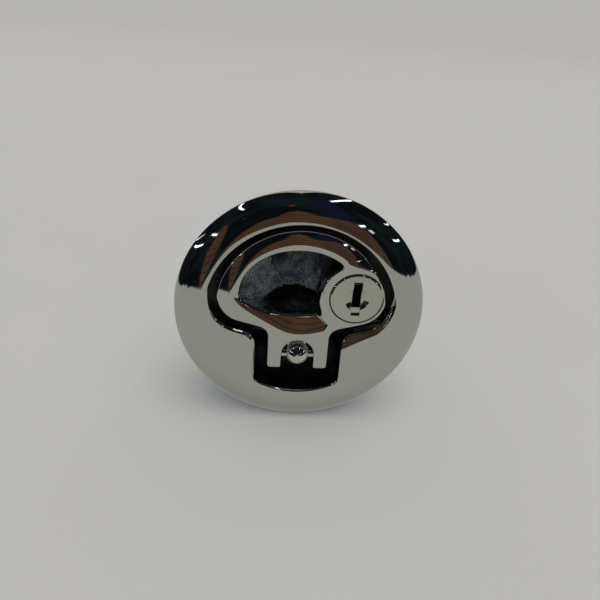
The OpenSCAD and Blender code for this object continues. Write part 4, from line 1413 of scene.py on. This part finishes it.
def makeFloor():
    size = 12.0
    mesh = bpy.data.meshes.new("floor")
    z = floorHeight * mm
    mesh.from_pydata([(-size, -size, z), (size, -size, z), (size, size, z), (-size, size, z)], [], [(0, 1, 2, 3)])
    material, tree, shader, where = newMaterial("floorPaper")
    mottle = rampNode(tree, noiseNode(tree, where, 14, 3.0), [(0.3, tuple(0.985 * c for c in room["paper"])),
                                                             (0.7, room["paper"])])
    tree.links.new(mottle, shader.inputs["Base Color"])
    shader.inputs["Roughness"].default_value = 1.0
    shader.inputs["Specular IOR Level"].default_value = 0.0
    mesh.materials.append(material)
    floor = bpy.data.objects.new("floor", mesh)
    scene.collection.objects.link(floor)
    # the chrome mirrors the world's own paper, which leans as it does behind the latch in the photograph
    floor.visible_glossy = False


def mathNode(tree, operation, first, second=None, clamp=False):
    node = tree.nodes.new("ShaderNodeMath")
    node.operation = operation
    node.use_clamp = clamp
    for socket, value in zip(node.inputs, (first, second)):
        if value is None:
            continue
        if isinstance(value, (int, float)):
            socket.default_value = value
        else:
            tree.links.new(value, socket)
    return node.outputs[0]


def curveNode(tree, value, points):
    # straight lines between points of degrees, over 360 degrees each way
    node = tree.nodes.new("ShaderNodeFloatCurve")
    curve = node.mapping.curves[0]
    spots = [((a + 180) / 360, (b + 180) / 360) for a, b in points]
    while len(curve.points) < len(spots):
        curve.points.new(0.5, 0.5)
    for point, spot in zip(curve.points, spots):
        point.location = spot
        point.handle_type = "VECTOR"
    node.mapping.update()
    tree.links.new(mathNode(tree, "DIVIDE", mathNode(tree, "ADD", value, 180.0), 360.0), node.inputs["Value"])
    return mathNode(tree, "SUBTRACT", mathNode(tree, "MULTIPLY", node.outputs[0], 360.0), 180.0)


def stepNode(tree, value, low, high):
    node = tree.nodes.new("ShaderNodeMapRange")
    node.interpolation_type = "SMOOTHSTEP"
    node.inputs["From Min"].default_value = low
    node.inputs["From Max"].default_value = high
    tree.links.new(value, node.inputs["Value"])
    return node.outputs["Result"]


def mixNode(tree, share, first, second):
    node = tree.nodes.new("ShaderNodeMix")
    node.data_type = "RGBA"
    tree.links.new(share, node.inputs["Factor"])
    for name, colour in (("A", first), ("B", second)):
        socket = next(i for i in node.inputs if i.name == name and i.type == "RGBA")
        if isinstance(colour, tuple):
            socket.default_value = (*colour, 1)
        else:
            tree.links.new(colour, socket)
    return next(o for o in node.outputs if o.type == "RGBA")


def roomPatch(tree, azimuth, elevation, at, size, edge=0.5):
    # 1 inside an oval of directions, 0 outside it
    across = mathNode(tree, "DIVIDE", mathNode(tree, "SUBTRACT", azimuth, float(at[0])), float(size[0]))
    upward = mathNode(tree, "DIVIDE", mathNode(tree, "SUBTRACT", elevation, float(at[1])), float(size[1]))
    squares = mathNode(tree, "ADD", mathNode(tree, "MULTIPLY", across, across),
                       mathNode(tree, "MULTIPLY", upward, upward))
    return stepNode(tree, squares, 1 + edge, 1 - edge)


def mirroredRoom(tree):
    where = tree.nodes.new("ShaderNodeTexCoord").outputs["Generated"]
    split = tree.nodes.new("ShaderNodeSeparateXYZ")
    tree.links.new(where, split.inputs[0])
    outward = mathNode(tree, "MULTIPLY", split.outputs["Y"], -1.0)
    degree = 180 / math.pi
    azimuth = mathNode(tree, "MULTIPLY", mathNode(tree, "ARCTAN2", split.outputs["X"], outward), degree)
    elevation = mathNode(tree, "MULTIPLY", mathNode(tree, "ARCSINE", split.outputs["Z"]), degree)
    wobble = mathNode(tree, "SUBTRACT", noiseNode(tree, where, 9, 3.0), 0.5)
    # the dark of the room, with faint green and blue in it
    haze = noiseNode(tree, where, 2.2, 4.0, 0.6, 0.6)
    colour = mixNode(tree, stepNode(tree, haze, 0.42, 0.72), room["dark"], room["darkGreen"])
    blue = roomPatch(tree, azimuth, elevation, (20, 36), (9, 30))
    colour = mixNode(tree, blue, colour, room["darkBlue"])
    grey = roomPatch(tree, azimuth, elevation, (-16, 52), (11, 9))
    colour = mixNode(tree, mathNode(tree, "MULTIPLY", grey, 0.5), colour, room["darkGreen"])
    for at, size in (((-4.5, 35), (2.3, 1.8)), ((-29, 23), (0.9, 1.0))):
        ember = roomPatch(tree, azimuth, elevation, at, size, 0.6)
        colour = mixNode(tree, mathNode(tree, "MULTIPLY", ember, 0.6), colour, room["ember"])
    # wood, with darker lines along it
    paperTop = curveNode(tree, azimuth, paperEdge)
    woodTop = mathNode(tree, "ADD", curveNode(tree, azimuth, woodEdge), mathNode(tree, "MULTIPLY", wobble, 4.0))
    along = mathNode(tree, "SUBTRACT", elevation, mathNode(tree, "MULTIPLY", paperTop, 0.75))
    ripple = mathNode(tree, "ADD", mathNode(tree, "MULTIPLY", along, 1.45), mathNode(tree, "MULTIPLY", wobble, 5.0))
    line = stepNode(tree, mathNode(tree, "SINE", ripple), 0.62, 0.98)
    wood = mixNode(tree, stepNode(tree, noiseNode(tree, where, 4, 2.0), 0.4, 0.65), room["wood"], room["woodWarm"])
    wood = mixNode(tree, mathNode(tree, "MULTIPLY", line, 0.75), wood, room["woodLine"])
    isWood = stepNode(tree, mathNode(tree, "SUBTRACT", woodTop, elevation), -0.5, 0.7)
    colour = mixNode(tree, isWood, colour, wood)
    middle = curveNode(tree, elevation, [(-180, woodWedge[0][1])] + [(e, a) for e, a, _ in woodWedge])
    half = curveNode(tree, elevation, [(-180, 0.0)] + [(e, w) for e, _, w in woodWedge])
    off = mathNode(tree, "ABSOLUTE", mathNode(tree, "SUBTRACT", azimuth, middle))
    off = mathNode(tree, "ADD", off, mathNode(tree, "MULTIPLY", wobble, 3.0))
    colour = mixNode(tree, stepNode(tree, mathNode(tree, "SUBTRACT", half, off), -0.4, 0.8), colour, wood)
    # paper, with an uneven edge towards the sides
    sideways = stepNode(tree, mathNode(tree, "ABSOLUTE", azimuth), 26, 60)
    ragged = mathNode(tree, "MULTIPLY", mathNode(tree, "MULTIPLY", wobble, sideways), 5.0)
    below = mathNode(tree, "SUBTRACT", mathNode(tree, "ADD", paperTop, ragged), elevation)
    # the paper that the chrome mirrors steeply below is darker: painted shade of the latch on the floor
    paper = mixNode(tree, stepNode(tree, elevation, -80, -38), room["paperShadedBelow"], room["paperMirrored"])
    paper = mixNode(tree, stepNode(tree, elevation, 20, 45), paper, room["cream"])
    return mixNode(tree, stepNode(tree, below, -0.5, 0.7), colour, paper)


def makeWorld():
    world = bpy.data.worlds.new("room")
    scene.world = world
    world.use_nodes = True
    tree = world.node_tree
    tree.nodes.clear()
    lights = tree.nodes.new("ShaderNodeLightPath")
    soft = tree.nodes.new("ShaderNodeBackground")
    soft.inputs["Color"].default_value = (*room["soft"], 1)
    soft.inputs["Strength"].default_value = room["softStrength"]
    mirrored = tree.nodes.new("ShaderNodeBackground")
    tree.links.new(mirroredRoom(tree), mirrored.inputs["Color"])
    seen = tree.nodes.new("ShaderNodeBackground")
    seen.inputs["Color"].default_value = (*room["paperSeen"], 1)
    first = tree.nodes.new("ShaderNodeMixShader")
    tree.links.new(lights.outputs["Is Glossy Ray"], first.inputs["Fac"])
    tree.links.new(soft.outputs[0], first.inputs[1])
    tree.links.new(mirrored.outputs[0], first.inputs[2])
    second = tree.nodes.new("ShaderNodeMixShader")
    tree.links.new(lights.outputs["Is Camera Ray"], second.inputs["Fac"])
    tree.links.new(first.outputs[0], second.inputs[1])
    tree.links.new(seen.outputs[0], second.inputs[2])
    out = tree.nodes.new("ShaderNodeOutputWorld")
    tree.links.new(second.outputs[0], out.inputs["Surface"])


def directionAt(azimuth, elevation):
    a, e = math.radians(azimuth), math.radians(elevation)
    return Vector((math.sin(a) * math.cos(e), -math.cos(a) * math.cos(e), math.sin(e)))


def makeLamps():
    reach = 2.0
    for i, (azimuth0, elevation0, azimuth1, elevation1, width, brightness) in enumerate(roomLamps):
        start, end = reach * directionAt(azimuth0, elevation0), reach * directionAt(azimuth1, elevation1)
        middle, along = (start + end) / 2, (end - start).normalized()
        away = (middle - middle.dot(along) * along).normalized()
        data = bpy.data.lights.new(f"lamp{i}", "AREA")
        data.shape = "RECTANGLE"
        data.size = (end - start).length
        data.size_y = 2 * middle.length * math.tan(math.radians(width) / 2)
        data.energy = brightness * data.size * data.size_y * math.pi
        data.color = (0.84, 0.94, 1.0)
        item = bpy.data.objects.new(f"lamp{i}", data)
        across = away.cross(along)
        item.matrix_world = Matrix((
            (along.x, across.x, away.x, middle.x),
            (along.y, across.y, away.y, middle.y),
            (along.z, across.z, away.z, middle.z),
            (0, 0, 0, 1),
        ))
        scene.collection.objects.link(item)
    # broad light from above and a faint blue fill that casts no shadow, which the chrome doesn't mirror
    for name, at, angle in (("sun", (0.1, -0.3, 1.0), 60), ("fill", (0.0, -0.2, 1.0), 20)):
        data = bpy.data.lights.new(name, "SUN")
        data.angle = math.radians(angle)
        data.energy = room[name + "Strength"]
        data.color = room[name]
        data.use_shadow = name == "sun"
        item = bpy.data.objects.new(name, data)
        item.rotation_mode = "QUATERNION"
        item.rotation_quaternion = Vector(at).to_track_quat("Z", "Y")
        item.visible_glossy = False
        scene.collection.objects.link(item)


makeFloor()
makeWorld()
makeLamps()
scene.view_settings.view_transform = "Standard"
print("stage 9: camera, room and lamps")
